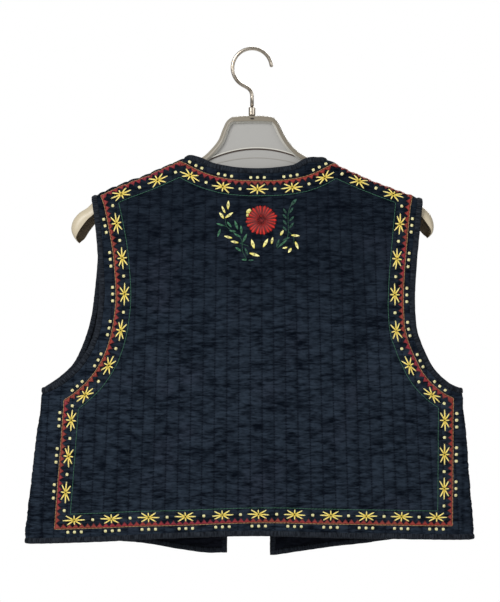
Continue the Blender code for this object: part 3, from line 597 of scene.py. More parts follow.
def cut_panel(piece, finishes):
    """A panel cut from one sheet of quilting: a flat grid is trimmed to the outline, doubled and hung."""
    wall = "back" if piece == "back_panel" else "front"
    outline, bound = cloth_outline(piece, TUCK)
    low, high = outline.min(axis=0) - CUT_MARGIN, outline.max(axis=0) + CUT_MARGIN
    corners = np.array([channel_place(x, z) for x in (low[0], high[0]) for z in (low[1], high[1])])
    first, last = math.floor(corners.min()), math.ceil(corners.max())
    shares = len(CHANNEL_SHARES)
    columns = (last - first) * shares
    rows = round((high[1] - low[1]) / ROW)
    work = bmesh.new()
    bmesh.ops.create_grid(work, x_segments=columns, y_segments=rows, size=1)
    flat = vertex_array(work)
    column = np.round((flat[:, 0] + 1) / 2 * columns).astype(int)
    z = low[1] + (flat[:, 1] + 1) / 2 * (high[1] - low[1])
    place = first + column // shares + np.array(CHANNEL_SHARES)[column % shares]
    x = CHANNEL_LINE + place * (CHANNEL_AT - CHANNEL_SPREAD * (z - CHANNEL_AT_HEIGHT))
    kept = inside(np.stack([x, z], axis=1), outline)
    for vertex, px, pz in zip(work.verts, x, z):
        vertex.co = (px, 0.0, pz)
    outer_faces = [face for face in work.faces if not any(kept[v.index] for v in face.verts)]
    bmesh.ops.delete(work, geom=outer_faces, context="FACES")
    stray = [v for v in work.verts if v.is_boundary]
    snapped = nearest_on(np.array([(v.co.x, v.co.z) for v in stray]), outline)
    for vertex, (px, pz) in zip(stray, snapped):
        fold, ridge = float(fold_across(pz, px < 0)), float(ridge_height(px))
        px = math.copysign(fold, px) if fold - abs(px) < JOIN_REACH else px
        vertex.co = (px, 0.0, ridge if ridge - pz < JOIN_REACH else pz)
    turning = square_depth(*vertex_array(work)[:, [0, 2]].T) < SHARP_TURN ** 2
    work.verts.index_update()
    edges = [e for e in work.edges if turning[e.verts[0].index] and turning[e.verts[1].index]]
    bmesh.ops.subdivide_edges(work, edges=edges, cuts=1, use_grid_fill=True)
    layer = work.loops.layers.uv.new("cloth")
    for face in work.faces:
        for loop in face.loops:
            px, _, pz = loop.vert.co
            loop[layer].uv = (float(channel_place(px, pz)) * CHANNEL_AT, pz)
    doubled = bmesh.ops.extrude_face_region(work, geom=work.faces[:])
    lining = {v for v in doubled["geom"] if isinstance(v, bmesh.types.BMVert)}
    for face in work.faces:
        face.material_index = int(all(v in lining for v in face.verts))
        face.smooth = True
    is_lining = np.array([v in lining for v in work.verts])
    flat = vertex_array(work)
    x, z = flat[:, 0], flat[:, 2]
    away = np.array([np.hypot(px - bound[:, 0], pz - bound[:, 1]).min() for px, pz in zip(x, z)])
    share = smooth((away - TUCK + FLAT_EDGE) / FULL_QUILT)
    face_points, lining_points = cloth_face(x, z, wall, share)[0], cloth_lining(x, z, wall, share)
    for vertex, point in zip(work.verts, np.where(is_lining[:, None], lining_points, face_points)):
        vertex.co = point
    bmesh.ops.recalc_face_normals(work, faces=work.faces)
    made = made_up(piece + "_cloth", work, finishes)
    # The puckers' painted light and shade, kept on the points for the cloth's colour.
    made.data.attributes.new("relief", "FLOAT", "POINT").data.foreach_set("value", quilting(x, z, wall)[1])
    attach(made, "root")
    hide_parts(piece)
    return made


# The cloth's navy in painted shade and in painted light; its colour runs between them with the puckers, wrinkles and
# creases. The lining has two such colours too.
NAVY_PAINTED_SHADE = linear(4, 8, 16)
NAVY_PAINTED_LIGHT = linear(37, 46, 57)
NAVY_FADED = linear(45, 47, 60)
LINING_PAINTED_SHADE = linear(10, 12, 18)
LINING_PAINTED_LIGHT = linear(24, 27, 35)
WEAVE_SCALE = 1400.0
SINE_TURN = 6.283
WRINKLES_ACROSS, WRINKLES_UP = 80.0, 340.0       # to a metre
# Painted shade: the cloth's colour is darker the higher it is.
DIM_FROM, DIM_TO = -0.38, -0.17                  # the cloth catches less light the higher it is, between these levels
STITCH_HALF = 0.0015         # half the length of a quilting stitch and the gap after it


def cotton(name, painted_shade_colour, crest, quilted):
    """Matt navy cotton: a fine weave, thin level wrinkles, a little fading, and sewn lines if quilted. Its colour
    runs from the given painted shade colour to the painted light colour with the puckers and wrinkles.
    """
    made, tree, shader = new_finish(name, Roughness=0.95, Specular_IOR_Level=0.03)
    place = add_node(tree, "ShaderNodeTexCoord", {}, [], "Object")
    across, _, up = parted(place)
    level = add_node(tree, "ShaderNodeCombineXYZ", {}, [across * WRINKLES_ACROSS, 0.0, up * WRINKLES_UP])
    wrinkles = add_node(tree, "ShaderNodeTexNoise", {"noise_dimensions": "3D"},
                        {"Vector": level, "Scale": 1.0, "Detail": 3.0, "Roughness": 0.55})
    faded = add_node(tree, "ShaderNodeTexNoise", {}, {"Vector": place, "Scale": 14.0, "Detail": 3.0})
    warp = (across * (WEAVE_SCALE * SINE_TURN)).maths("SINE")
    weft = (up * (WEAVE_SCALE * SINE_TURN)).maths("SINE")
    weave = warp * weft * 0.5 + 0.5
    relief = add_node(tree, "ShaderNodeAttribute", {"attribute_name": "relief"}, [], "Fac")
    dip = add_node(tree, "ShaderNodeTexNoise", {}, {"Vector": level, "Scale": 2.1, "Detail": 2.0})
    # Painted light and shade: the puckers, wrinkles and dips set how light the colour is painted; the fading shows
    # more where it is painted light.
    caught = ranged(relief * 0.34 + wrinkles * 0.95 + dip * 0.50, 0.60, 1.20)
    caught = caught * (1.0 - ranged(up, DIM_FROM, DIM_TO) * 0.45)
    tone = mixed(tree, caught, painted_shade_colour, crest)
    tone = mixed(tree, ranged(faded, 0.50, 0.78) * caught * 0.5, tone, NAVY_FADED)
    height = wrinkles * 1.0 + weave * 0.10
    if quilted:
        uv = add_node(tree, "ShaderNodeUVMap", {"uv_map": "cloth"}, [])
        u, v, _ = parted(uv)
        off = u.maths("PINGPONG", CHANNEL_AT / 2)
        gathered = (v + wrinkles * 0.002).maths("PINGPONG", STITCH_HALF)
        line = (1 - ranged(off, 0.0003, 0.0012)) * (0.16 + 0.84 * ranged(gathered, 0.0003, 0.0011))
        dash = v.maths("PINGPONG", STITCH_HALF)
        stitch = (1 - ranged(off, 0.00022, 0.00040)) * ranged(dash, 0.0003, 0.0006)
        # Painted shade in the grooves along the sewn lines; the stitches are a little lighter thread.
        tone = mixed(tree, line * 0.72, tone, linear(5, 9, 17))
        tone = mixed(tree, stitch * 0.35, tone, linear(30, 34, 46))
        height = height + stitch * 0.25 - line * 0.3
    feed(shader, Base_Color=tone, Normal=bumped(height, 0.8, 0.0012))
    return made


quilted_cotton = cotton("quilted navy cotton", NAVY_PAINTED_SHADE, NAVY_PAINTED_LIGHT, True)
plain_lining = cotton("plain navy lining", LINING_PAINTED_SHADE, LINING_PAINTED_LIGHT, False)
cloths = {"back_panel": cut_panel("back_panel", (quilted_cotton, plain_lining))}

# The two fronts: cut like the back but for a deeper neckline, of the same quilting. They hang open behind it,
# and their lower front corners drop below its hem.
for piece in ("front_left", "front_right"):
    cloths[piece] = cut_panel(piece, (quilted_cotton, plain_lining))


# The bindings: navy cotton cut on the bias, folded over each raw edge and sewn down. They are rolled and a
# little puckered, and a fine line of stitches runs beside their inner edge.
BINDING_THICK = 0.0048
BINDING_SIDES = 14           # of the mesh, round the roll
BINDING_STEP = 0.0021        # of the mesh, along the edge
BINDING_SQUARENESS = 0.8     # of the roll's section; 1 would be an ellipse
MITRE_LIMIT = 0.6            # how far a sharp corner may draw the strip out
HEM_END_LAP = 0.0018         # how far the hem's strip runs in under the front edges' strip
BINDING_PUCKER = 0.0034
BINDING_ROUND = 0.0095       # the strip's width round half of the roll, as its material sees it
BINDING_DASH = 0.0014


def hung_line(line, wall):
    return hollow(line[:, 0], line[:, 1], wall)


def joined(parts, closed=False):
    """Edges end to end; two ends that meet at a seam become one point between them."""
    points, out = [list(half) for half in parts[0]]
    for more_points, more_out in parts[1:]:
        points[-1] = (points[-1] + more_points[0]) / 2
        out[-1] = out[-1] + more_out[0]
        points += list(more_points[1:])
        out += list(more_out[1:])
    if closed:
        points[0] = points[-1] = (points[0] + points[-1]) / 2
        out[0] = out[-1] = out[0] + out[-1]
    return np.array(points), directions(np.array(out))


def spaced(points, out, step):
    """The same line with even steps; corners stay, because they are far sharper than a step."""
    chords = chord_lengths(points)
    stations = np.linspace(0, chords[-1], max(4, round(chords[-1] / step)))
    points = np.stack([np.interp(stations, chords, points[:, k]) for k in range(3)], axis=1)
    out = np.stack([np.interp(stations, chords, out[:, k]) for k in range(3)], axis=1)
    return points, directions(out), stations


def close_ends(work):
    ends = [edge for edge in work.edges if edge.is_boundary]
    bmesh.ops.holes_fill(work, edges=ends, sides=0)


def rolled_strip(name, line, side, closed, node):
    """A strip folded over an edge, as a grid wrapped round the edge line."""
    points, out, stations = spaced(*line, BINDING_STEP)
    before, after = np.roll(points, 1, axis=0), np.roll(points, -1, axis=0)
    if closed:
        before[0], after[-1] = points[-2], points[1]
    else:
        before[0], after[-1] = 2 * points[0] - points[1], 2 * points[-1] - points[-2]
    first = directions(side * np.cross(points - before, out))
    second = directions(side * np.cross(after - points, out))
    away = directions(first + second)
    away /= np.maximum((away * first).sum(axis=1), MITRE_LIMIT)[:, None]
    count = len(points)
    work = bmesh.new()
    bmesh.ops.create_grid(work, x_segments=count - 1, y_segments=BINDING_SIDES, size=1)
    flat = vertex_array(work)
    station = np.round((flat[:, 0] + 1) / 2 * (count - 1)).astype(int)
    turn = (flat[:, 1] + 1) * np.pi + np.pi
    distance = stations[station]
    pucker = scattered(distance / BINDING_PUCKER, np.sin(turn) * 1.3 + 7.0) - 0.5
    round_x = np.sign(np.cos(turn)) * np.abs(np.cos(turn)) ** BINDING_SQUARENESS
    round_y = np.sign(np.sin(turn)) * np.abs(np.sin(turn)) ** BINDING_SQUARENESS
    crease = np.exp(-((np.cos(turn) + 0.45) / 0.16) ** 2) * (np.sin(turn) > 0)
    swell = 1.0 + 0.10 * pucker - 0.12 * crease
    place = points[station] + out[station] * BINDING_THICK / 2
    place += away[station] * (SEAM_GAP + BINDING_WIDTH / 2 + round_x * swell * BINDING_WIDTH / 2)[:, None]
    place += out[station] * (round_y * swell * BINDING_THICK / 2)[:, None]
    layer = work.loops.layers.uv.new("cloth")
    uvs = np.stack([distance, (flat[:, 1] + 1) * BINDING_ROUND], axis=1)
    for face in work.faces:
        face.smooth = True
        for loop in face.loops:
            loop[layer].uv = uvs[loop.vert.index]
    for vertex, point in zip(work.verts, place):
        vertex.co = point
    bmesh.ops.remove_doubles(work, verts=work.verts, dist=1e-6)
    if not closed:
        close_ends(work)
    bmesh.ops.recalc_face_normals(work, faces=work.faces)
    made = made_up(name, work, [bias_binding])
    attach(made, "root")
    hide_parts(node)


def binding_cotton():
    made, tree, shader = new_finish("navy bias binding", Roughness=0.9, Specular_IOR_Level=0.08)
    uv = add_node(tree, "ShaderNodeUVMap", {"uv_map": "cloth"}, [])
    along, round_it, _ = parted(uv)
    ribs = add_node(tree, "ShaderNodeCombineXYZ", {}, [along * 900.0, round_it * 160.0, 0.0])
    crinkle = add_node(tree, "ShaderNodeTexNoise", {}, {"Vector": ribs, "Scale": 1.0, "Detail": 2.0})
    twill = ((along + round_it) * (1500.0 * SINE_TURN)).maths("SINE")
    # Painted light and shade: the crinkles are painted darker and lighter.
    tone = mixed(tree, ranged(crinkle, 0.32, 0.70), linear(8, 11, 17), linear(38, 43, 50))
    dash = along.maths("PINGPONG", BINDING_DASH)
    edge = (round_it - 0.0038).maths("PINGPONG", BINDING_ROUND)
    stitch = (1 - ranged(edge, 0.0002, 0.0004)) * ranged(dash, 0.0003, 0.0006)
    tone = mixed(tree, stitch * 0.6, tone, linear(38, 42, 55))
    height = crinkle * 0.9 + twill * 0.06 + stitch * 0.3
    feed(shader, Base_Color=tone, Normal=bumped(height, 0.6, 0.0006))
    return made


bias_binding = binding_cotton()


def armhole_ring_part(wall, left):
    line = side_line(wall, left)
    fold_level = armhole_line(wall, left)[-1, 1]
    return line[line[:, 1] >= fold_level - 1e-9][::-1]


for name, left, side in (("armhole_binding_left", True, -1), ("armhole_binding_right", False, 1)):
    up = hung_line(armhole_ring_part("back", left), "back")
    down = hung_line(armhole_ring_part("front", left)[::-1], "front")
    rolled_strip(name + "_roll", joined([up, down], closed=True), side, True, name)


def hem_line(low, high, wall):
    x = np.linspace(low, high, 160)
    return hung_line(np.stack([x, hem_height(x, wall)], axis=1), wall)


hem_left = float(side_line("back", True)[-1, 0])
hem_right = float(side_line("back", False)[-1, 0])
hem_parts = [
    hem_line(FRONT_EDGES[0] - BOUND_EDGE + HEM_END_LAP, hem_left, "front"),
    hem_line(hem_left, hem_right, "back"),
    hem_line(hem_right, FRONT_EDGES[1] + BOUND_EDGE - HEM_END_LAP, "front"),
]
rolled_strip("hem_binding_roll", joined(hem_parts), 1, False, "hem_binding")


neck_x = np.linspace(*NECK_POINTS, 120)
neck_parts = [
    hung_line(front_edge_line(True), "front"),
    hung_line(np.stack([neck_x, neckline(neck_x, "back")], axis=1), "back"),
    hung_line(front_edge_line(False)[::-1], "front"),
]
for part, last in ((neck_parts[0], 0), (neck_parts[2], -1)):
    part[0][last, 2] -= BOUND_EDGE
rolled_strip("neck_front_binding_roll", joined(neck_parts), -1, False, "neck_front_binding")


# The embroidered border: stranded cotton sewn by hand all round the back and both fronts. From the edge in:
# cream dots in threes, a thin tan line with red satin teeth on it, yellow stars with a cream dot between each
# two, and a thin green line. Every stitch is a raised thread that follows the quilting under it.
DOT_IN, TEETH_IN, TEETH_TALL, STAR_IN, GREEN_IN = 0.0100, 0.0138, 0.0062, 0.0235, 0.0308
TEETH_PITCH = 0.0070
TOOTH_THREADS = 9
TOOTH_START, TOOTH_LOW = 0.0004, 0.0014          # from the tan line to a thread's foot, and to a tooth's low ends
TOOTH_THREAD = 0.00092
HUE_LENGTH = 0.035           # how fast the teeth's red changes along the border
THREAD = 0.00072
RAY_START, RAY_HALF = 0.0004, 0.00030            # a ray's two threads lie this far off its middle
DOT_PITCH = 0.0077
DOT_THREADS = (-2, -1, 0, 1, 2)
DOT_THREAD_APART = 0.00060
DOT_HALF, DOT_ROUND = 0.0019, 0.0021
DOT_ROOM = 0.030             # stars closer than this have no dot between them
DOT_END_ROOM = 0.002         # no dot of three closer than this to a corner
DOT_BEFORE, DOT_AFTER, DOT_FIRST = 0.005, 0.003, 0.001     # the same for the dots beside the end stars
PLY_SCALE = 900.0            # twists to a metre of thread
THREAD_FLAT, THREAD_RAISED = 0.42, 0.20          # half of its height, and how high its middle lies, to its width
CREAM = linear(212, 207, 146)
CREAM_LIGHT = linear(234, 230, 182)
YELLOW = linear(255, 226, 82)
YELLOW_PALE = linear(255, 244, 168)
GREEN_LINE = linear(46, 96, 74)
TAN_LINE = linear(160, 124, 84)
TEETH_BASE = np.array([linear(176, 56, 42), linear(156, 68, 50), linear(168, 44, 50), linear(154, 40, 64)])
TEETH_TIP = np.array([linear(96, 14, 20), linear(100, 24, 24), linear(100, 12, 30), linear(84, 10, 30)])

Ray = namedtuple("Ray", "turn reach")
STAR_RAYS = (Ray(0, 0.0130), Ray(180, 0.0130), Ray(30, 0.0104), Ray(150, 0.0104), Ray(210, 0.0104),
             Ray(330, 0.0104), Ray(90, 0.0060), Ray(270, 0.0060))

Stitch = namedtuple("Stitch", "ax az bx bz width lift from_colour to_colour")
Side = namedtuple("Side", "line stars first last end_dots bow threes", defaults=(0.0, True))


def thread_finish():
    """Stranded cotton: two plies twisted round each other, with a soft sheen and painted shade between the plies."""
    made, tree, shader = new_finish("stranded embroidery cotton", Roughness=0.55, Specular_IOR_Level=0.4)
    colour = add_node(tree, "ShaderNodeAttribute", {"attribute_name": "thread"}, [], "Color")
    uv = add_node(tree, "ShaderNodeUVMap", {"uv_map": "strand"}, [])
    along, round_it, _ = parted(uv)
    ply = ((along * PLY_SCALE + round_it) * SINE_TURN).maths("SINE")
    shade = ply * 0.5 + 0.5
    # Painted shade: the colour is darker between the plies.
    dark = add_node(tree, "ShaderNodeMix", {"data_type": "RGBA", "blend_type": "MULTIPLY"},
                    {0: 1.0, 6: colour, 7: (0.80, 0.76, 0.70, 1.0)}, 2)
    feed(shader, Base_Color=mixed(tree, shade, dark, colour), Normal=bumped(shade, 0.4, 0.0003))
    return made


embroidery_cotton = thread_finish()


def sewn_face(x, z, wall):
    """The cloth's face where a stitch lies. It follows the shoulder's curve, and past the ridge the other wall."""
    half = np.interp(np.abs(x), RIDGE_ACROSS, RIDGE_HALF) + WALL
    rise = np.interp(np.abs(x), RIDGE_ACROSS, RIDGE_RISE)
    start = ridge_height(x) - rise
    turned = np.clip((z - start) / ((half + rise + WALL) / 2), 0.0, np.pi)
    z = np.where(z > start, start + rise * np.sin(turned), z)
    over = turned > np.pi / 2
    near, near_out = cloth_face(x, z, wall)
    far, far_out = cloth_face(x, z, "front" if wall == "back" else "back")
    return np.where(over[:, None], far, near), np.where(over[:, None], far_out, near_out)


def sew(name, stitches, wall):
    """All the stitches of one piece of work: one thread shape made with bmesh, laid once for each stitch."""
    work = bmesh.new()
    bmesh.ops.create_uvsphere(work, u_segments=6, v_segments=5, radius=1.0)
    work.verts.index_update()
    unit = vertex_array(work)
    faces = [[v.index for v in face.verts] for face in work.faces]
    work.free()
    share = (1 - unit[:, 2]) / 2
    count, size = len(stitches), len(unit)
    ax, az, bx, bz, width, lift = np.array([s[:6] for s in stitches]).T
    from_colour = np.array([s.from_colour for s in stitches])
    to_colour = np.array([s.to_colour for s in stitches])
    x = ax[:, None] + (bx - ax)[:, None] * share
    z = az[:, None] + (bz - az)[:, None] * share
    points, out = sewn_face(x.ravel(), z.ravel(), wall)
    points, out = points.reshape(count, size, 3), out.reshape(count, size, 3)
    run = points[:, unit[:, 2].argmin()] - points[:, unit[:, 2].argmax()]
    run /= np.maximum(np.linalg.norm(run, axis=1, keepdims=True), 1e-9)
    middle = out.mean(axis=1)
    aside = np.cross(middle, run)
    aside /= np.maximum(np.linalg.norm(aside, axis=1, keepdims=True), 1e-9)
    points = points + aside[:, None] * (unit[:, 0] * width[:, None] / 2)[..., None]
    arch = 4 * share * (1 - share)
    height = unit[:, 1] * width[:, None] * THREAD_FLAT + lift[:, None] * arch + width[:, None] * THREAD_RAISED
    points = points + out * height[..., None]
    mesh = bpy.data.meshes.new(name)
    all_faces = np.array([f + [f[-1]] * (4 - len(f)) for f in faces])[None] + size * np.arange(count)[:, None, None]
    quads = [len(set(f)) for f in faces]
    lists = [row[:quads[k % len(quads)]] for k, row in enumerate(all_faces.reshape(-1, 4).tolist())]
    mesh.from_pydata(points.reshape(-1, 3).tolist(), [], lists)
    colours = from_colour[:, None] + (to_colour - from_colour)[:, None] * share[None, :, None]
    layer = mesh.color_attributes.new("thread", "FLOAT_COLOR", "POINT")
    layer.data.foreach_set("color", np.concatenate([colours, np.ones((count, size, 1))], axis=2).ravel())
    length = np.hypot(bx - ax, bz - az)
    strand = np.stack([share[None] * length[:, None],
                       np.broadcast_to(np.arctan2(unit[:, 1], unit[:, 0]) / (2 * np.pi), (count, size))], axis=2)
    corners = np.empty(len(mesh.loops), int)
    mesh.loops.foreach_get("vertex_index", corners)
    uv = mesh.uv_layers.new(name="strand")
    uv.data.foreach_set("uv", strand.reshape(-1, 2)[corners].ravel())
    mesh.shade_smooth()
    mesh.materials.append(embroidery_cotton)
    made = bpy.data.objects.new(name, mesh)
    bpy.context.collection.objects.link(made)
    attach(made, "root")
    return made


class Path:
    """A line that stitches are set out along, by distance."""

    def __init__(self, points):
        self.points = points
        self.chords = chord_lengths(points)
        self.length = self.chords[-1]

    def place(self, distance):
        return np.array([np.interp(distance, self.chords, self.points[:, k]) for k in (0, 1)])

    def at(self, distance, step=0.001):
        """A place on the line and its direction there."""
        along = self.place(distance + step) - self.place(distance - step)
        return self.place(distance), along / np.hypot(*along)


def moved_in(line, distance):
    """A side of the border moved into the cloth, with straight run-outs at both ends."""
    line = inset(line, -distance)
    first, last = line[0] - line[2], line[-1] - line[-3]
    run_out = 0.08
    head = line[0] + run_out * first / np.hypot(*first)
    tail = line[-1] + run_out * last / np.hypot(*last)
    return np.concatenate([[head], line, [tail]])


def crossing(first, second):
    """Where two lines cross, as the piece numbers on each and the place; the crossing nearest their shared corner."""
    best = None
    corner = (first[-2] + second[1]) / 2
    run_b = second[1:] - second[:-1]
    for i in range(len(first) - 1):
        run = first[i + 1] - first[i]
        apart = second[:-1] - first[i]
        cross = run[0] * run_b[:, 1] - run[1] * run_b[:, 0]
        cross = np.where(np.abs(cross) < 1e-14, 1e-14, cross)
        t = (apart[:, 0] * run_b[:, 1] - apart[:, 1] * run_b[:, 0]) / cross
        s = (apart[:, 0] * run[1] - apart[:, 1] * run[0]) / cross
        for j in np.where((t >= 0) & (t <= 1) & (s >= 0) & (s <= 1))[0]:
            place = first[i] + t[j] * run
            far = np.hypot(*(place - corner))
            if best is None or far < best[0]:
                best = (far, i, int(j), place)
    return best[1:]


def mitred(sides, distance):
    """The sides of a border at one distance from the edge, trimmed to meet in mitred corners."""
    lines = [moved_in(side, distance) for side in sides]
    corners = [crossing(lines[k - 1], lines[k]) for k in range(len(lines))]
    paths = []
    for k, line in enumerate(lines):
        _, start, head = corners[k]
        end, _, tail = corners[(k + 1) % len(lines)]
        paths.append(Path(np.concatenate([[head], line[start + 1:end + 1], [tail]])))
    return paths


def left_of(along):
    return np.array([-along[1], along[0]])


def tinted(colour, tint):
    return tuple(tint * c for c in colour)


def dotted(place, along, dice):
    """One cream dot: a few short stitches side by side over padding."""
    aside = left_of(along)
    rows = []
    for k in DOT_THREADS:
        off = k * DOT_THREAD_APART
        half = DOT_HALF * math.sqrt(1 - (off / DOT_ROUND) ** 2)
        a = place + along * off - aside * half
        b = place + along * off + aside * half
        tint = 0.9 + 0.15 * dice.random()
        rows.append(Stitch(*a, *b, 0.0009, 0.0010 * (1 - abs(k) / 4), tinted(CREAM, tint), tinted(CREAM_LIGHT, tint)))
    return rows


def starred(place, along, dice):
    """One yellow star: eight rays, each of two threads drawn out from the middle."""
    aside = left_of(along)
    rows = []
    for ray in STAR_RAYS:
        turn = math.radians(ray.turn + dice.normal(0, 2.5))
        reach = ray.reach * (1 + dice.normal(0, 0.03))
        toward = along * math.cos(turn) + aside * math.sin(turn)
        beside = left_of(toward)
        for off in (-RAY_HALF, RAY_HALF):
            a = place + toward * RAY_START + beside * off * 1.4
            b = place + toward * (reach - abs(off) * dice.random()) + beside * off
            rows.append(Stitch(*a, *b, THREAD, 0.0003, YELLOW, YELLOW_PALE))
    return rows


def run_of(path, step, width, colour, dice, slant=0.0):
    """A line of stitches end to end."""
    count = max(1, round(path.length / step))
    rows = []
    for k in range(count):
        (a, along), (b, _) = path.at(path.length * k / count), path.at(path.length * (k + 1.12) / count)
        aside = left_of(along) * slant
        shade = tinted(colour, 0.88 + 0.2 * dice.random())
        rows.append(Stitch(*(a - aside), *(b + aside), width, 0.0002, shade, shade))
    return rows


def border(sides, dice):
    """The rows of stitches of a whole border, grouped by the kind of work."""
    lines = [side.line for side in sides]
    teeth, dots, stars, edging = [], [], [], []
    for number, path in enumerate(mitred(lines, TEETH_IN)):
        edging += run_of(path, 0.0042, 0.0008, TAN_LINE, dice)
        threads = max(1, round(path.length / TEETH_PITCH)) * TOOTH_THREADS
        for k in range(threads):
            distance = path.length * (k + 0.5) / threads
            share = (k % TOOTH_THREADS + 0.5) / TOOTH_THREADS
            tall = TOOTH_LOW + (TEETH_TALL - TOOTH_LOW) * (1 - abs(2 * share - 1))
            place, along = path.at(distance)
            a, b = place + left_of(along) * TOOTH_START, place + left_of(along) * tall
            hue = float(scattered(np.array(distance / HUE_LENGTH + number * 9), np.array(3.0))) * 2.999
            low, part = int(hue), hue % 1
            tint = 0.85 + 0.3 * dice.random()
            base = TEETH_BASE[low] * (1 - part) + TEETH_BASE[low + 1] * part
            tip = TEETH_TIP[low] * (1 - part) + TEETH_TIP[low + 1] * part
            teeth.append(Stitch(*a, *b, TOOTH_THREAD, 0.0003, tuple(base * tint), tuple(tip * tint)))
    for side, star_path, dot_path in zip(sides, mitred(lines, STAR_IN), mitred(lines, DOT_IN)):
        spacing = (star_path.length - side.first - side.last) / (side.stars - 1)
        for k in range(side.stars):
            share = k / (side.stars - 1)
            distance = side.first + spacing * (k + 4 * side.bow * share * (1 - share))
            place, along = star_path.at(distance)
            stars += starred(place, along, dice)
            if not side.threes:
                continue
            middle = place - left_of(along) * (STAR_IN - DOT_IN)
            nearest = dot_path.chords[((dot_path.points - middle) ** 2).sum(axis=1).argmin()]
            share = nearest / dot_path.length
            near = dot_path.length * np.linspace(max(share - 0.2, 0), min(share + 0.2, 1), 400)
            found = min(near, key=lambda d: float(np.hypot(*(dot_path.at(d)[0] - middle))))
            for off in (-DOT_PITCH, 0.0, DOT_PITCH):
                if DOT_END_ROOM < found + off < dot_path.length - DOT_END_ROOM:
                    dots += dotted(*dot_path.at(found + off), dice)
        first = 0 if side.end_dots else 1
        for k in range(first, side.stars + (1 if side.end_dots else 0)):
            share = (k - 0.5) / (side.stars - 1)
            distance = side.first + spacing * (k - 0.5 + 4 * side.bow * max(share * (1 - share), 0.0))
            if -DOT_BEFORE < distance < star_path.length - DOT_AFTER and spacing > DOT_ROOM:
                dots += dotted(*star_path.at(max(distance, DOT_FIRST)), dice)
    green = []
    for path in mitred(lines, GREEN_IN):
        green += run_of(path, 0.0036, 0.0007, GREEN_LINE, dice, slant=0.00012)
    return {"teeth": teeth, "dots": dots, "stars": stars, "edging": edging + green}


# Where each side of a border runs: along the bound edge of its panel, or a little off it as the photograph shows
SIDE_EDGE_LEFT = ((-0.2264, -0.385), (-0.2409, -0.569))
SIDE_EDGE_RIGHT = ((0.2433, -0.385), (0.2422, -0.569))
FRONT_SIDE_EDGE_LEFT = ((-0.2350, -0.385), (-0.2530, -0.569))
BORDER_SHIFT_HEIGHT = (-0.360, -0.290, -0.235, -0.165)
BORDER_SHIFT = (0.0058, 0.0062, 0.0044, -0.0022)
UNDERARM_SHIFT_HEIGHT = (-0.380, -0.345, -0.320)
UNDERARM_SHIFT = (-0.0068, -0.0045, 0.0)
ARMHOLE_FOOT = -0.3885
BORDER_TIPS = (-0.1820, 0.1935)                  # where the shoulders' borders meet the armholes'
OVER_SHOULDER = (0.0132, 0.0178)                 # the borders meet this far over the ridge, on the front
BORDER_NECK_ENDS = (0.0840, -0.0760)
BORDER_NECK_LOW = (0.0046, -0.1377)
BORDER_NECK_RISE = (14.4, 61.5)
BORDER_NECK_POWER = (2.55, 3.20)
BORDER_HEM = np.array((
    Hem(-0.2620, -0.5642), Hem(-0.1860, -0.5616), Hem(-0.1300, -0.5588), Hem(-0.0764, -0.5576),
    Hem(-0.0330, -0.5556), Hem(0.0068, -0.5547), Hem(0.1000, -0.5564), Hem(0.1860, -0.5584),
    Hem(0.2570, -0.5598),
))


def straight(a, b, count=40):
    return np.linspace(a, b, count)


def bound_armhole(wall, left):
    line = armhole_line(wall, left, 0.0)
    line = line[line[:, 1] > ARMHOLE_FOOT]
    if wall == "back" and left:
        line[:, 0] += np.interp(line[:, 1], BORDER_SHIFT_HEIGHT, BORDER_SHIFT)
        line[:, 1] += np.interp(line[:, 1], UNDERARM_SHIFT_HEIGHT, UNDERARM_SHIFT)
    return line


def shoulder_seam(low, high, rise):
    x = np.linspace(low, high, 40)
    return np.stack([x, eased(x, SHOULDERS) + rise], axis=1)


def bound_neck(x):
    left = x < BORDER_NECK_LOW[0]
    away = np.abs(x - BORDER_NECK_LOW[0])
    rise = np.where(left, *BORDER_NECK_RISE) * away ** np.where(left, *BORDER_NECK_POWER)
    return np.stack([x, BORDER_NECK_LOW[1] + rise], axis=1)


def bound_hem(low, high, rows):
    x = np.linspace(low, high, 120)
    return np.stack([x, eased(x, rows)], axis=1)


back_sides = (
    Side(bound_hem(-0.2412, 0.2422, BORDER_HEM), 11, 0.0122, 0.0084, False, 0.09),
    Side(straight(SIDE_EDGE_RIGHT[1], SIDE_EDGE_RIGHT[0]), 3, 0.0326, 0.0190, True),
    Side(bound_armhole("back", False)[::-1], 6, 0.0178, 0.0298, True, 0.055),
    Side(shoulder_seam(BORDER_TIPS[1], NECK_POINTS[1], OVER_SHOULDER[1]), 2, 0.0120, 0.0287, True, 0.0, False),
    Side(bound_neck(np.linspace(*BORDER_NECK_ENDS, 120)), 5, 0.0143, 0.0132, False),
    Side(shoulder_seam(NECK_POINTS[0], BORDER_TIPS[0], OVER_SHOULDER[0]), 2, 0.0284, 0.0126, True, 0.0, False),
    Side(bound_armhole("back", True), 6, 0.0290, 0.0186, True, -0.055),
    Side(straight(*SIDE_EDGE_LEFT), 3, 0.0176, 0.0322, True),
)
dice = np.random.default_rng(38)
for kind, rows in border(back_sides, dice).items():
    sew("back_border_" + kind, rows, "back")


# From a corner of a front to its first star, which is as far as from its last star to the next corner
PLAIN_MARGIN, SHOULDER_MARGIN, ARMHOLE_MARGIN, SIDE_MARGIN = 0.018, 0.019, 0.020, 0.025


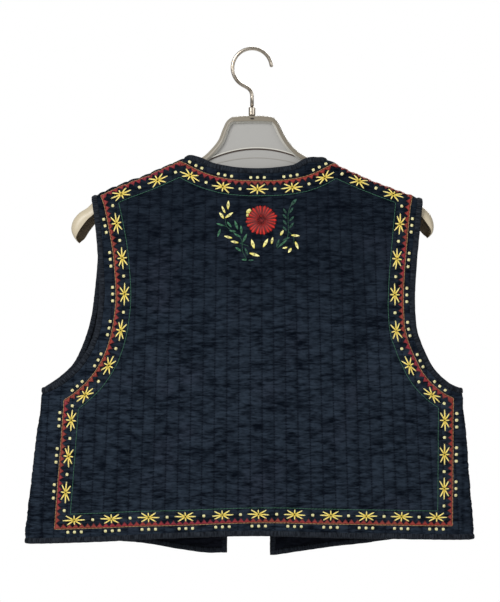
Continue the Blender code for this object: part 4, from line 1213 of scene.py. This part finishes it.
def front_sides(left):
    """A front's border, anticlockwise seen from behind the vest, with the hem first."""
    reach = BOUND_EDGE if left else -BOUND_EDGE
    edge, neck, tip = [ends[0 if left else 1] for ends in (FRONT_EDGES, NECK_POINTS, BORDER_TIPS)]
    low, top = float(eased(edge, HEMS["front"])), float(neckline(np.array([edge - reach]), "front")[0]) + BOUND_EDGE
    side = FRONT_SIDE_EDGE_LEFT if left else SIDE_EDGE_RIGHT
    x = np.linspace(edge - reach, neck, 60)
    neck_curve = inset(np.stack([x, neckline(x, "front")], axis=1), reach)
    if left:
        return (
            Side(bound_hem(side[1][0], edge, HEMS["front"]), 5, PLAIN_MARGIN, PLAIN_MARGIN, False),
            Side(straight((edge, low), (edge, top), 80), 9, PLAIN_MARGIN, PLAIN_MARGIN, False),
            Side(neck_curve, 2, PLAIN_MARGIN, PLAIN_MARGIN, True),
            Side(shoulder_seam(neck, tip, -OVER_SHOULDER[0]), 2, SHOULDER_MARGIN, SHOULDER_MARGIN, True),
            Side(bound_armhole("front", True), 5, ARMHOLE_MARGIN, ARMHOLE_MARGIN, True),
            Side(straight(*side), 3, SIDE_MARGIN, SIDE_MARGIN, True),
        )
    return (
        Side(bound_hem(edge, side[1][0], HEMS["front"]), 5, PLAIN_MARGIN, PLAIN_MARGIN, False),
        Side(straight(side[1], side[0]), 3, SIDE_MARGIN, SIDE_MARGIN, True),
        Side(bound_armhole("front", False)[::-1], 5, ARMHOLE_MARGIN, ARMHOLE_MARGIN, True),
        Side(shoulder_seam(tip, neck, -OVER_SHOULDER[1]), 2, SHOULDER_MARGIN, SHOULDER_MARGIN, True),
        Side(neck_curve[::-1], 2, PLAIN_MARGIN, PLAIN_MARGIN, True),
        Side(straight((edge, top), (edge, low), 80), 9, PLAIN_MARGIN, PLAIN_MARGIN, False),
    )


for name, left in (("front_left", True), ("front_right", False)):
    for kind, rows in border(front_sides(left), dice).items():
        sew(name + "_border_" + kind, rows, "front")


# The flower under the back neck: a round red bloom of radial satin petals with a maroon middle, between two
# sprigs of green and yellow leaves. Each petal and leaf is a fan of threads side by side.
FLOWER = (0.0109, -0.1962)
FLOWER_OUTER, FLOWER_INNER = 0.0180, 0.0046
FLOWER_SQUASH = 0.96         # its height to its width
PETALS = 23
PETAL_THREADS = (-3, -2, -1, 0, 1, 2, 3)
PETAL_THREAD, PETAL_LIFT = 0.00080, 0.0011
PETAL_RED = linear(204, 40, 27)
PETAL_DARK = linear(104, 13, 18)
PETAL_GAP_PAINTED_SHADE = linear(92, 14, 17)
MAROON = linear(84, 13, 21)
GAP_REACH, GAP_THREAD = 0.97, 0.0022             # a dark red thread laid between two petals as painted shade
PETAL_SWAY = 0.13            # how unevenly the petals stand, in petals
BRIGHT_SIDE = -0.8           # the direction in which the petals are brightest, in radians
HeartRing = namedtuple("HeartRing", "reach stitches")
HEART_RINGS = (HeartRing(0.0012, 7), HeartRing(0.0029, 12), HeartRing(0.0047, 19), HeartRing(0.0064, 26))
HEART_HALF = 0.0014          # half the length of a stitch of the flower's middle
LEAF_THREAD, LEAF_THREAD_APART = 0.00085, 0.0007
LEAF_LAP = 0.0004            # how far the threads of a leaf's two halves reach past its waist
LEAF_LIFT, TUFT_LIFT = 0.0002, 0.0024
STEM_STEP, STEM_THREAD = 0.0028, 0.0008
LEAF_YELLOW = (linear(216, 204, 84), linear(244, 238, 164))
LEAF_COLOURS = {
    "yellow": LEAF_YELLOW,
    "tuft": LEAF_YELLOW,
    "green": (linear(26, 76, 55), linear(58, 112, 82)),
    "teal": (linear(16, 50, 42), linear(34, 80, 64)),
}


def heading(turn, squash=1.0):
    return np.array([math.cos(turn), math.sin(turn) * squash])


def blended(first, second, share):
    return tuple(a * (1 - share) + b * share for a, b in zip(first, second))


flower_rows = []
flower_dice = np.random.default_rng(5)
middle = np.array(FLOWER)
for petal in range(PETALS):
    turn = 2 * math.pi * (petal + 0.5 + PETAL_SWAY * math.sin(2.4 * petal + 1.2)) / PETALS
    toward = heading(turn, FLOWER_SQUASH)
    flower_rows.append(Stitch(*(middle + toward * FLOWER_INNER), *(middle + toward * FLOWER_OUTER * GAP_REACH),
                              GAP_THREAD, 0.0, PETAL_GAP_PAINTED_SHADE, PETAL_GAP_PAINTED_SHADE))
for petal in range(PETALS):
    long = 1 + flower_dice.normal(0, 0.03)
    stands = petal + PETAL_SWAY * math.sin(2.4 * petal)
    glow = 0.76 + 0.36 * flower_dice.random()
    glow += 0.16 * math.cos(2 * math.pi * stands / PETALS - BRIGHT_SIDE)
    for k in PETAL_THREADS:
        share = k / 3.0
        turn = 2 * math.pi * (stands + 0.5 * share * 0.66) / PETALS
        toward = heading(turn, FLOWER_SQUASH)
        reach = FLOWER_OUTER * long * (1 - 0.07 * share ** 2)
        # Painted highlight down each petal's middle threads, painted shade on its side threads.
        tint = glow * (1.10 - 0.60 * share ** 2) + 0.10 * flower_dice.random()
        flower_rows.append(Stitch(*(middle + toward * FLOWER_INNER), *(middle + toward * reach), PETAL_THREAD,
                                  PETAL_LIFT * (1 - share ** 2), tinted(PETAL_DARK, 0.8 * tint),
                                  tinted(PETAL_RED, tint)))
for number, ring in enumerate(HEART_RINGS):
    for k in range(ring.stitches):
        toward = heading(2 * math.pi * (k + 0.3 * number + 0.2 * flower_dice.random()) / ring.stitches)
        shade = blended(MAROON, PETAL_RED, 0.08 * number + 0.4 * flower_dice.random() ** 2)
        flower_rows.append(Stitch(*(middle + toward * (ring.reach - HEART_HALF)),
                                  *(middle + toward * (ring.reach + HEART_HALF)),
                                  0.0010, 0.0009 + 0.0004 * flower_dice.random(), shade, shade))


def leafed(leaf):
    """A leaf of threads from its foot to its tip, bowed out to both sides."""
    lift = TUFT_LIFT if leaf.kind == "tuft" else LEAF_LIFT
    toward = heading(math.radians(leaf.turn))
    beside = left_of(toward)
    place = np.array([leaf.across, leaf.height])
    rows = []
    count = max(3, round(leaf.width / LEAF_THREAD_APART))
    for k in range(count):
        off = (k / (count - 1) - 0.5) * 2
        waist = place + toward * leaf.length * 0.5 + beside * off * leaf.width / 2
        foot = place + beside * off * 0.0003 + toward * leaf.length * 0.04 * abs(off)
        tip = place + toward * leaf.length * (1 - 0.06 * abs(off)) + beside * off * 0.0002
        tint = 0.85 + 0.3 * flower_dice.random()
        dark, light = [tinted(colour, tint) for colour in LEAF_COLOURS[leaf.kind]]
        rows.append(Stitch(*foot, *(waist + toward * LEAF_LAP), LEAF_THREAD, lift, dark, light))
        rows.append(Stitch(*(waist - toward * LEAF_LAP), *tip, LEAF_THREAD, lift, light, light))
    return rows


Leaf = namedtuple("Leaf", "across height turn length width kind")
LEAVES = (
    # the left sprig: a yellow tuft, green pairs down the stem, yellow leaves at its foot
    Leaf(-0.0274, -0.1843, 86, 0.0105, 0.0031, "yellow"),
    Leaf(-0.0305, -0.1886, 115, 0.0092, 0.0022, "yellow"),
    Leaf(-0.0319, -0.1948, 126, 0.0090, 0.0029, "yellow"),
    Leaf(-0.0309, -0.1940, 35, 0.0117, 0.0028, "yellow"),
    Leaf(-0.0317, -0.2029, 162, 0.0094, 0.0017, "green"),
    Leaf(-0.0358, -0.2060, 251, 0.0102, 0.0022, "green"),
    Leaf(-0.0232, -0.2046, 128, 0.0085, 0.0021, "green"),
    Leaf(-0.0160, -0.2075, 109, 0.0117, 0.0026, "green"),
    Leaf(-0.0178, -0.2093, 172, 0.0084, 0.0018, "green"),
    Leaf(-0.0119, -0.2122, 94, 0.0102, 0.0024, "green"),
    Leaf(-0.0125, -0.2157, 153, 0.0091, 0.0020, "green"),
    Leaf(-0.0108, -0.2221, 64, 0.0118, 0.0026, "green"),
    Leaf(-0.0224, -0.2168, 166, 0.0098, 0.0023, "yellow"),
    Leaf(-0.0149, -0.2221, 170, 0.0098, 0.0023, "yellow"),
    Leaf(-0.0120, -0.2319, 146, 0.0086, 0.0022, "green"),
    Leaf(-0.0045, -0.2365, 113, 0.0094, 0.0022, "teal"),
    Leaf(-0.0056, -0.2418, 174, 0.0064, 0.0018, "green"),
    Leaf(-0.0046, -0.2420, 2, 0.0068, 0.0015, "teal"),
    Leaf(0.0026, -0.2290, 107, 0.0116, 0.0036, "yellow"),
    Leaf(-0.0032, -0.2337, -17, 0.0128, 0.0031, "yellow"),
    # the right sprig: a dark spray above, yellow leaves round its foot
    Leaf(0.0438, -0.1802, 49, 0.0110, 0.0036, "teal"),
    Leaf(0.0392, -0.1889, 121, 0.0070, 0.0020, "teal"),
    Leaf(0.0424, -0.1886, 56, 0.0080, 0.0020, "teal"),
    Leaf(0.0396, -0.1948, 130, 0.0072, 0.0020, "teal"),
    Leaf(0.0424, -0.1977, 47, 0.0082, 0.0021, "teal"),
    Leaf(0.0396, -0.2017, 128, 0.0070, 0.0020, "teal"),
    Leaf(0.0424, -0.2058, 53, 0.0086, 0.0022, "teal"),
    Leaf(0.0396, -0.2087, 130, 0.0070, 0.0020, "teal"),
    Leaf(0.0322, -0.2139, 59, 0.0074, 0.0026, "yellow"),
    Leaf(0.0444, -0.2134, -5, 0.0100, 0.0024, "yellow"),
    Leaf(0.0491, -0.2203, -68, 0.0100, 0.0028, "yellow"),
    Leaf(0.0450, -0.2279, 236, 0.0070, 0.0028, "yellow"),
    Leaf(0.0404, -0.2273, 190, 0.0058, 0.0017, "yellow"),
    Leaf(0.0221, -0.2238, 79, 0.0086, 0.0023, "yellow"),
    Leaf(0.0125, -0.2273, 60, 0.0117, 0.0032, "yellow"),
    Leaf(0.0276, -0.2279, 71, 0.0108, 0.0021, "teal"),
    Leaf(0.0300, -0.2270, 40, 0.0130, 0.0019, "green"),
    Leaf(0.0345, -0.2197, 24, 0.0098, 0.0016, "teal"),
    # a yellow tuft that overlaps the bloom
    Leaf(-0.0062, -0.1886, 62, 0.0056, 0.0026, "tuft"),
    Leaf(-0.0034, -0.1892, 92, 0.0060, 0.0024, "tuft"),
    Leaf(-0.0056, -0.1928, 80, 0.0044, 0.0024, "tuft"),
    Leaf(-0.0012, -0.1868, 120, 0.0042, 0.0020, "tuft"),
)
for leaf in LEAVES:
    flower_rows += leafed(leaf)

STEMS = (
    ((-0.0305, -0.1945), (-0.0290, -0.2030), (-0.0200, -0.2110), (-0.0125, -0.2175), (-0.0113, -0.2235),
     (-0.0106, -0.2322), (-0.0060, -0.2415)),
    ((-0.0330, -0.2025), (-0.0285, -0.2035)),
    ((-0.0145, -0.2222), (-0.0108, -0.2235), (-0.0040, -0.2260)),
    ((0.0456, -0.1767), (0.0415, -0.1872), (0.0412, -0.1988), (0.0415, -0.2093), (0.0386, -0.2197),
     (0.0285, -0.2285)),
    ((0.0415, -0.2093), (0.0472, -0.2150), (0.0478, -0.2230)),
)
for stem in STEMS:
    points = np.array(stem)
    knots = np.arange(len(points), dtype=float)
    fine = np.linspace(0, len(points) - 1, 40)
    line = np.stack([eased(fine, np.stack([knots, points[:, k]], axis=1)) for k in (0, 1)], axis=1)
    flower_rows += run_of(Path(line), STEM_STEP, STEM_THREAD, LEAF_COLOURS["green"][0], flower_dice)
sew("flower_and_sprigs", flower_rows, "back")

# What each cloth was cut to before it was sewn up and hung, and what is sewn to it
Cut = namedtuple("Cut", "piece flat area sewn_on")
CUTS = (
    Cut("back_panel", (0.54, 0.45), 0.186, ("back_border", "flower", "armhole_binding", "hem_binding")),
    Cut("front_left", (0.25, 0.46), 0.078, ("front_left_border", "neck_front_binding")),
    Cut("front_right", (0.25, 0.46), 0.081, ("front_right_border",)),
)
for cut in CUTS:
    sewn_on = [o for o in bpy.data.objects if "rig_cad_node" not in o and o.name.startswith(cut.sewn_on)]


# The hanger: one moulding of taupe plastic. Its arms and neck are an open channel. A pale web closes the neck
# inside a bevelled frame, and a thin ledge arches across the web. Light and shade are painted on: the channel's
# crown and tips are painted lighter, the bevel and the ledge carry painted highlights, a brown groove of painted
# shade lies under the ledge, and a small slot in the top bar is a shallow dish painted dark as painted shade.
PLASTIC = 0.0022             # the thickness of its walls
ARM_CLEARANCE = 0.0004
ARM_SIDE_CLEARANCE = 0.0010
ARMS = ((-0.1780, -0.0966), (0.1035, 0.1890))    # here the shoulders' form gives the channel's, in rows left at 0
Rim = namedtuple("Rim", "across height half rise near far")
RIMS = (
    Rim(-0.2012, -0.2198, 0.0030, 0.0026, 0.0030, 0.0034),
    Rim(-0.2052, -0.2140, 0.0070, 0.0040, 0.0046, 0.0100),
    Rim(-0.2078, -0.2050, 0.0100, 0.0078, 0.0100, 0.0185),
    Rim(-0.2054, -0.1955, 0.0108, 0.0094, 0.0130, 0.0215),
    Rim(-0.1988, -0.1872, 0.0108, 0.0100, 0.0130, 0.0212),
    Rim(-0.1900, -0.1815, 0.0108, 0.0106, 0.0112, 0.0178),
    Rim(-0.1780, 0, 0, 0, 0.0112, 0.0165),
    Rim(-0.1518, 0, 0, 0, 0.0104, 0.0150),
    Rim(-0.1242, 0, 0, 0, 0.0094, 0.0140),
    Rim(-0.0966, 0, 0, 0, 0.0084, 0.0130),
    Rim(-0.0860, -0.1328, 0.0062, 0.0058, 0.0074, 0.0120),
    Rim(-0.0765, -0.1300, 0.0052, 0.0048, 0.0062, 0.0100),
    Rim(-0.0575, -0.1232, 0.0060, 0.0050, 0.0056, 0.0080),
    Rim(-0.0465, -0.1133, 0.0060, 0.0050, 0.0054, 0.0070),
    Rim(-0.0388, -0.1034, 0.0060, 0.0050, 0.0052, 0.0066),
    Rim(-0.0334, -0.0902, 0.0060, 0.0046, 0.0050, 0.0056),
    Rim(-0.0289, -0.0813, 0.0060, 0.0046, 0.0050, 0.0056),
    Rim(-0.0233, -0.0769, 0.0060, 0.0046, 0.0058, 0.0062),
    Rim(-0.0160, -0.0757, 0.0060, 0.0046, 0.0066, 0.0070),
    Rim(0.0010, -0.0752, 0.0060, 0.0046, 0.0066, 0.0070),
    Rim(0.0180, -0.0757, 0.0060, 0.0046, 0.0066, 0.0070),
    Rim(0.0255, -0.0775, 0.0060, 0.0046, 0.0058, 0.0062),
    Rim(0.0306, -0.0836, 0.0060, 0.0046, 0.0050, 0.0056),
    Rim(0.0360, -0.0945, 0.0060, 0.0046, 0.0050, 0.0056),
    Rim(0.0437, -0.1066, 0.0060, 0.0050, 0.0052, 0.0066),
    Rim(0.0537, -0.1166, 0.0060, 0.0050, 0.0054, 0.0070),
    Rim(0.0646, -0.1232, 0.0060, 0.0050, 0.0056, 0.0080),
    Rim(0.0848, -0.1320, 0.0052, 0.0048, 0.0062, 0.0100),
    Rim(0.0945, -0.1350, 0.0062, 0.0058, 0.0074, 0.0120),
    Rim(0.1035, 0, 0, 0, 0.0084, 0.0130),
    Rim(0.1311, 0, 0, 0, 0.0094, 0.0140),
    Rim(0.1587, 0, 0, 0, 0.0104, 0.0150),
    Rim(0.1890, 0, 0, 0, 0.0112, 0.0165),
    Rim(0.1975, -0.1810, 0.0108, 0.0088, 0.0096, 0.0178),
    Rim(0.2042, -0.1878, 0.0108, 0.0086, 0.0102, 0.0194),
    Rim(0.2080, -0.1960, 0.0106, 0.0070, 0.0084, 0.0180),
    Rim(0.2088, -0.2048, 0.0096, 0.0040, 0.0046, 0.0128),
    Rim(0.2070, -0.2110, 0.0070, 0.0028, 0.0032, 0.0068),
    Rim(0.2041, -0.2142, 0.0030, 0.0026, 0.0030, 0.0034),
)
TIP_FROM, TIP_OVER = 0.187, 0.010
TIP_LEAN = ((0.62, 0.79), (0.57, -0.82))     # how the cut of the channel leans at the left tip and the right one
# Towards the tips the channel's outside is painted pale as painted light, from here over this length.
TIP_PALE_FROM, TIP_PALE_OVER = 0.150, 0.040
EDGE_POINTS = 4              # the outermost points of a section, on each side, painted darker than the crown as painted shade
RIM_STEP = 0.0022
RIM_TURNS = np.radians(np.linspace(-90, 90, 13))
WEB_LOWER_EDGE = ((-0.0720, -0.1400), (-0.0400, -0.1490), (0.0000, -0.1520), (0.0420, -0.1490), (0.0790, -0.1420))
WEB_ENDS = 0.070             # how far from the middle the web and its bevel end, under the shoulders
WEB_INSET = 0.0035           # from the rim's upper line down to the web's edge, hidden in the rim
WEB_NEAR, WEB_FAR = -0.0008, 0.0052
BEVEL = 0.0022               # the height of the sloped band between rim and web
LEDGE_SUNK = 0.0004          # how far a ledge is let into the web
Ledge = namedtuple("Ledge", "crown drop height near colour")
LEDGE_ENDS = (-0.0535, 0.0640)
# The plastic's own taupe, then the lighter taupe of the channel's crown and the beige of its tips, which are painted
# light.
TAUPE = linear(114, 107, 94)
TAUPE_PAINTED_LIGHT = linear(132, 126, 114)
TIP_PAINTED_LIGHT = linear(176, 165, 142)
TIP_HOLLOW = linear(118, 102, 78)
WEB_PALE = linear(150, 149, 146)
# The bevel's pale is painted light; the groove's brown and the slot's dark brown are painted shade.
BEVEL_PAINTED_LIGHT = linear(182, 180, 172)
GROOVE_PAINTED_SHADE = linear(58, 42, 34)
SLOT_PAINTED_SHADE = linear(22, 16, 12)
# The ledges' colours are painted light and shade: a pale one as a painted highlight, a brown groove of painted shade
# just under it, and a lower one painted a little darker than the web as painted shade.
LEDGES = (
    Ledge(-0.1116, 0.0145, 0.0013, -0.0030, BEVEL_PAINTED_LIGHT),
    Ledge(-0.1129, 0.0145, 0.0014, -0.0018, GROOVE_PAINTED_SHADE),
    Ledge(-0.1232, 0.0105, 0.0010, -0.0011, linear(138, 135, 130)),
)
SLOT_PLACE = (0.0003, -0.0060, -0.0791)
SLOT_HALF = (0.0023, 0.00095)
SLOT_RINGS = ((1.30, 0.0, TAUPE), (1.15, 0.0003, TAUPE), (1.0, 0.0003, TAUPE), (0.96, 0.0001, SLOT_PAINTED_SHADE),
              (0.05, 0.0001, SLOT_PAINTED_SHADE))
SLOT_SIDES = 24


def rim_table():
    """The table with the arms' rows filled in from the shoulder ridge that rests on them."""
    rows = np.array(RIMS, float)
    for row in rows:
        if row[1] == 0:
            row[1:4] = arm_section(row[0])
    return rows


def arm_section(x):
    half = np.interp(abs(x), RIDGE_ACROSS, RIDGE_HALF) - ARM_SIDE_CLEARANCE
    rise = np.interp(abs(x), RIDGE_ACROSS, RIDGE_RISE) - ARM_CLEARANCE
    return float(ridge_height(x)) - ARM_CLEARANCE, half, rise


def fine_rims():
    """Rows close together along a smooth curve through the table's."""
    rows = rim_table()
    chords = chord_lengths(rows[:, :2])
    stations = np.linspace(0, chords[-1], round(chords[-1] / RIM_STEP))
    fine = np.stack([eased(stations, np.stack([chords, rows[:, k]], axis=1)) for k in range(6)], axis=1)
    for row in fine:
        if any(low < row[0] < high for low, high in ARMS):
            row[1:4] = arm_section(row[0])
    return fine


def lofted(work, rings, colours):
    """One closed shell through rings of points, added to a mesh in its colours."""
    count, sides = rings.shape[:2]
    made = bmesh.ops.create_grid(work, x_segments=count - 1, y_segments=sides, size=1)["verts"]
    flat = np.array([v.co[:] for v in made])
    ring = np.round((flat[:, 0] + 1) / 2 * (count - 1)).astype(int)
    place = np.round((flat[:, 1] + 1) / 2 * sides).astype(int) % sides
    layer = work.verts.layers.float_color["plastic"]
    for vertex, i, j in zip(made, ring, place):
        vertex.co = rings[i, j]
        vertex[layer] = (*colours[i, j], 1.0)
    bmesh.ops.remove_doubles(work, verts=made, dist=1e-6)
    close_ends(work)


def stood_up(section, x, z, along):
    """A cross section's points, set square to a line in the hanger's plane."""
    return [(x - along[1] * up, across, z + along[0] * up) for across, up in section]


def channel_shell(work):
    rows = fine_rims()
    along = directions(np.gradient(rows[:, :2], axis=0))
    lean = smooth((np.abs(rows[:, :1]) - TIP_FROM) / TIP_OVER)
    along = directions(along * (1 - lean) + np.where(rows[:, :1] < 0, *np.array(TIP_LEAN)) * lean)
    rings, colours = [], []
    for (x, z, half, rise, near, far), toward in zip(rows, along):
        outer = [(-half, -near)]
        outer += [(half * math.sin(t), -rise * (1 - math.cos(t))) for t in RIM_TURNS]
        outer += [(half, -far)]
        thin_half, thin_rise = half - PLASTIC, rise - PLASTIC
        inner = [(thin_half, -far)]
        inner += [(thin_half * math.sin(t), -PLASTIC - thin_rise * (1 - math.cos(t))) for t in RIM_TURNS[::-1]]
        inner += [(-thin_half, -near)]
        rings.append(stood_up(outer + inner, x, z, toward))
        # Painted light and shade: each section's crown is painted lighter than its edges, and towards the tips the
        # outside is painted pale beige as painted light.
        tip = float(smooth((abs(x) - TIP_PALE_FROM) / TIP_PALE_OVER))
        edge, crown = [[blended(plain, TIP_PAINTED_LIGHT, tip)] for plain in (TAUPE, TAUPE_PAINTED_LIGHT)]
        hidden = [blended(TAUPE, TIP_HOLLOW, tip)]
        colours.append(edge * EDGE_POINTS + crown * (len(outer) - 2 * EDGE_POINTS) + edge * EDGE_POINTS
                       + hidden * len(inner))
    lofted(work, np.array(rings), np.array(colours))


def frame_line(distance):
    """The inner outline of the hanger's neck, that far in from its upper line."""
    rows = fine_rims()
    rows = rows[np.abs(rows[:, 0]) < WEB_ENDS]
    return inset(rows[:, :2], distance), rows


def bevel_shell(work):
    """The sloped band inside the neck's rim, between its flange and the web, painted paler than the web as painted
    light.
    """
    line, rows = frame_line(0.0)
    along = directions(np.gradient(line, axis=0))
    rings = []
    for (x, z), toward, row in zip(line, along, rows):
        near, half = row[4], row[2]
        corners = [(-half + 0.0004, -near + 0.0006), (WEB_NEAR - 0.0002, -near - BEVEL), (WEB_NEAR + 0.0012, -near)]
        rings.append(stood_up(corners, x, z, toward))
    rings = np.array(rings)
    lofted(work, rings, np.broadcast_to(BEVEL_PAINTED_LIGHT, rings.shape))


def web_shell(work):
    upper, _ = frame_line(WEB_INSET)
    lower = np.array(WEB_LOWER_EDGE)
    low = np.stack([upper[:, 0], eased(upper[:, 0], lower)], axis=1)
    rings = np.stack([
        np.stack([upper[:, 0], np.full(len(upper), WEB_NEAR), upper[:, 1]], axis=1),
        np.stack([low[:, 0], np.full(len(low), WEB_NEAR), low[:, 1]], axis=1),
        np.stack([low[:, 0], np.full(len(low), WEB_FAR), low[:, 1]], axis=1),
        np.stack([upper[:, 0], np.full(len(upper), WEB_FAR), upper[:, 1]], axis=1),
    ], axis=1)
    lofted(work, rings, np.broadcast_to(WEB_PALE, rings.shape))


def ledge_shell(work, ledge):
    """A thin bar that arches across the web."""
    shares = np.linspace(-1.0, 1.0, 60)
    x = sum(LEDGE_ENDS) / 2 + shares * (LEDGE_ENDS[1] - LEDGE_ENDS[0]) / 2
    z = ledge.crown - ledge.drop * shares ** 2
    far = WEB_NEAR + LEDGE_SUNK
    corners = ((ledge.near, 0.0), (far, 0.0), (far, -ledge.height), (ledge.near, -ledge.height))
    rings = np.array([[(px, y, pz + up) for y, up in corners] for px, pz in zip(x, z)])
    lofted(work, rings, np.broadcast_to(ledge.colour, rings.shape))


def slot_shell(work):
    """The slot in the top bar, as a lip round a shallow dish painted dark as painted shade."""
    turns = np.linspace(0, 2 * np.pi, SLOT_SIDES, endpoint=False)
    rings = []
    for size, proud, _ in SLOT_RINGS:
        x = SLOT_PLACE[0] + size * SLOT_HALF[0] * np.cos(turns)
        z = SLOT_PLACE[2] + size * SLOT_HALF[1] * np.sin(turns)
        rings.append(np.stack([x, np.full(SLOT_SIDES, SLOT_PLACE[1] - proud), z], axis=1))
    colours = np.array([[ring[2]] * SLOT_SIDES for ring in SLOT_RINGS])
    lofted(work, np.array(rings), colours)


def moulded_plastic():
    made, tree, shader = new_finish("satin moulded plastic", Specular_IOR_Level=0.4)
    colour = add_node(tree, "ShaderNodeAttribute", {"attribute_name": "plastic"}, [], "Color")
    place = add_node(tree, "ShaderNodeTexCoord", {}, [], "Object")
    clouds = add_node(tree, "ShaderNodeTexNoise", {}, {"Vector": place, "Scale": 60.0, "Detail": 4.0})
    tone = mixed(tree, clouds * 0.10, colour, linear(96, 88, 76))
    grain = add_node(tree, "ShaderNodeTexNoise", {}, {"Vector": place, "Scale": 900.0, "Detail": 2.0})
    feed(shader, Base_Color=tone, Roughness=clouds * 0.16 + 0.34, Normal=bumped(grain, 0.12, 0.0002))
    return made


SHARP = math.radians(35)
moulding_work = bmesh.new()
# The colours kept here are the plastic's own, with painted light and shade added to them.
moulding_work.verts.layers.float_color.new("plastic")
channel_shell(moulding_work)
bevel_shell(moulding_work)
web_shell(moulding_work)
for ledge in LEDGES:
    ledge_shell(moulding_work, ledge)
slot_shell(moulding_work)
bmesh.ops.recalc_face_normals(moulding_work, faces=moulding_work.faces)
for face in moulding_work.faces:
    face.smooth = True
for edge in moulding_work.edges:
    edge.smooth = edge.calc_face_angle(0.0) < SHARP
moulding = made_up("hanger_moulding", moulding_work, [moulded_plastic()])
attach(moulding, "root")
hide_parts("hanger_body")


# The hook and its ferrule: steel wire bent in an open crook, pressed into a short turned collar. Both are
# plated with a satin finish, with fine lines drawn along the wire.
def plated_metal():
    made, tree, shader = new_finish("satin plated wire", Metallic=1.0)
    place = add_node(tree, "ShaderNodeTexCoord", {}, [], "Object")
    drawn = add_node(tree, "ShaderNodeTexNoise", {}, {"Vector": place, "Scale": 700.0, "Detail": 3.0})
    cloudy = add_node(tree, "ShaderNodeTexNoise", {}, {"Vector": place, "Scale": 90.0, "Detail": 3.0})
    tone = mixed(tree, ranged(cloudy, 0.35, 0.75), linear(180, 171, 158), linear(150, 140, 126))
    feed(shader, Base_Color=tone, Roughness=drawn * 0.08 + 0.24, Normal=bumped(drawn, 0.03, 0.0002))
    return made


hook_metal = plated_metal()
frame["nodes"]["hanger_ferrule"].data.materials.clear()
frame["nodes"]["hanger_ferrule"].data.materials.append(hook_metal)

WIRE_RADIUS = 0.0021
WIRE_SIDES = 16
CROOK_RADIUS = 0.0224        # to the middle of the wire
CROOK_TURNS = np.radians(np.linspace(2, 214, 100))
WIRE_FOOT = -0.0649          # where the wire ends inside the ferrule
WIRE_STRAIGHT = -0.0540      # from here down it is straight
SWEEP_REACH = 0.5            # how softly the neck bends out of the crook
WIRE_END_TURNS = np.radians([6, 30, 52, 72])     # the rings that round off the wire's cut end


def wire_line():
    """The middle of the wire: an open crook, then a swept neck down to the ferrule."""
    crook = CROOK_RADIUS * np.stack([np.cos(CROOK_TURNS), np.sin(CROOK_TURNS)], axis=1)
    crook[:, 1] += WIRE_RADIUS - CROOK_RADIUS
    start, end = crook[-1], np.array([0.0, WIRE_STRAIGHT])
    reach = SWEEP_REACH * np.linalg.norm(end - start)
    first = start + reach * np.array([-math.sin(CROOK_TURNS[-1]), math.cos(CROOK_TURNS[-1])])
    second = end + np.array([0.0, reach])
    t = np.linspace(0, 1, 41)[1:, None]
    neck = (1 - t) ** 3 * start + 3 * (1 - t) ** 2 * t * first + 3 * (1 - t) * t ** 2 * second + t ** 3 * end
    return np.concatenate([crook, neck, [[0.0, WIRE_FOOT]]])


def bent_wire():
    line = wire_line()
    along = directions(np.gradient(line, axis=0))
    radius = np.full(len(line), WIRE_RADIUS)
    rounded = len(WIRE_END_TURNS)
    line[:rounded] = line[0] + along[0] * (WIRE_RADIUS * (1 - np.cos(WIRE_END_TURNS)))[:, None]
    radius[:rounded] = WIRE_RADIUS * np.sin(WIRE_END_TURNS)
    work = bmesh.new()
    bmesh.ops.create_grid(work, x_segments=len(line) - 1, y_segments=WIRE_SIDES, size=1)
    flat = vertex_array(work)
    station = np.round((flat[:, 0] + 1) / 2 * (len(line) - 1)).astype(int)
    turn = (flat[:, 1] + 1) * np.pi
    aside = np.stack([-along[:, 1], along[:, 0]], axis=1)
    for vertex, k, angle in zip(work.verts, station, turn):
        x, z = line[k] + aside[k] * radius[k] * math.cos(angle)
        vertex.co = (x, radius[k] * math.sin(angle), z)
    bmesh.ops.remove_doubles(work, verts=work.verts, dist=1e-6)
    close_ends(work)
    bmesh.ops.recalc_face_normals(work, faces=work.faces)
    for face in work.faces:
        face.smooth = True
    made = made_up("hanger_wire", work, [hook_metal])
    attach(made, "root")
    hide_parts("hanger_hook")


bent_wire()
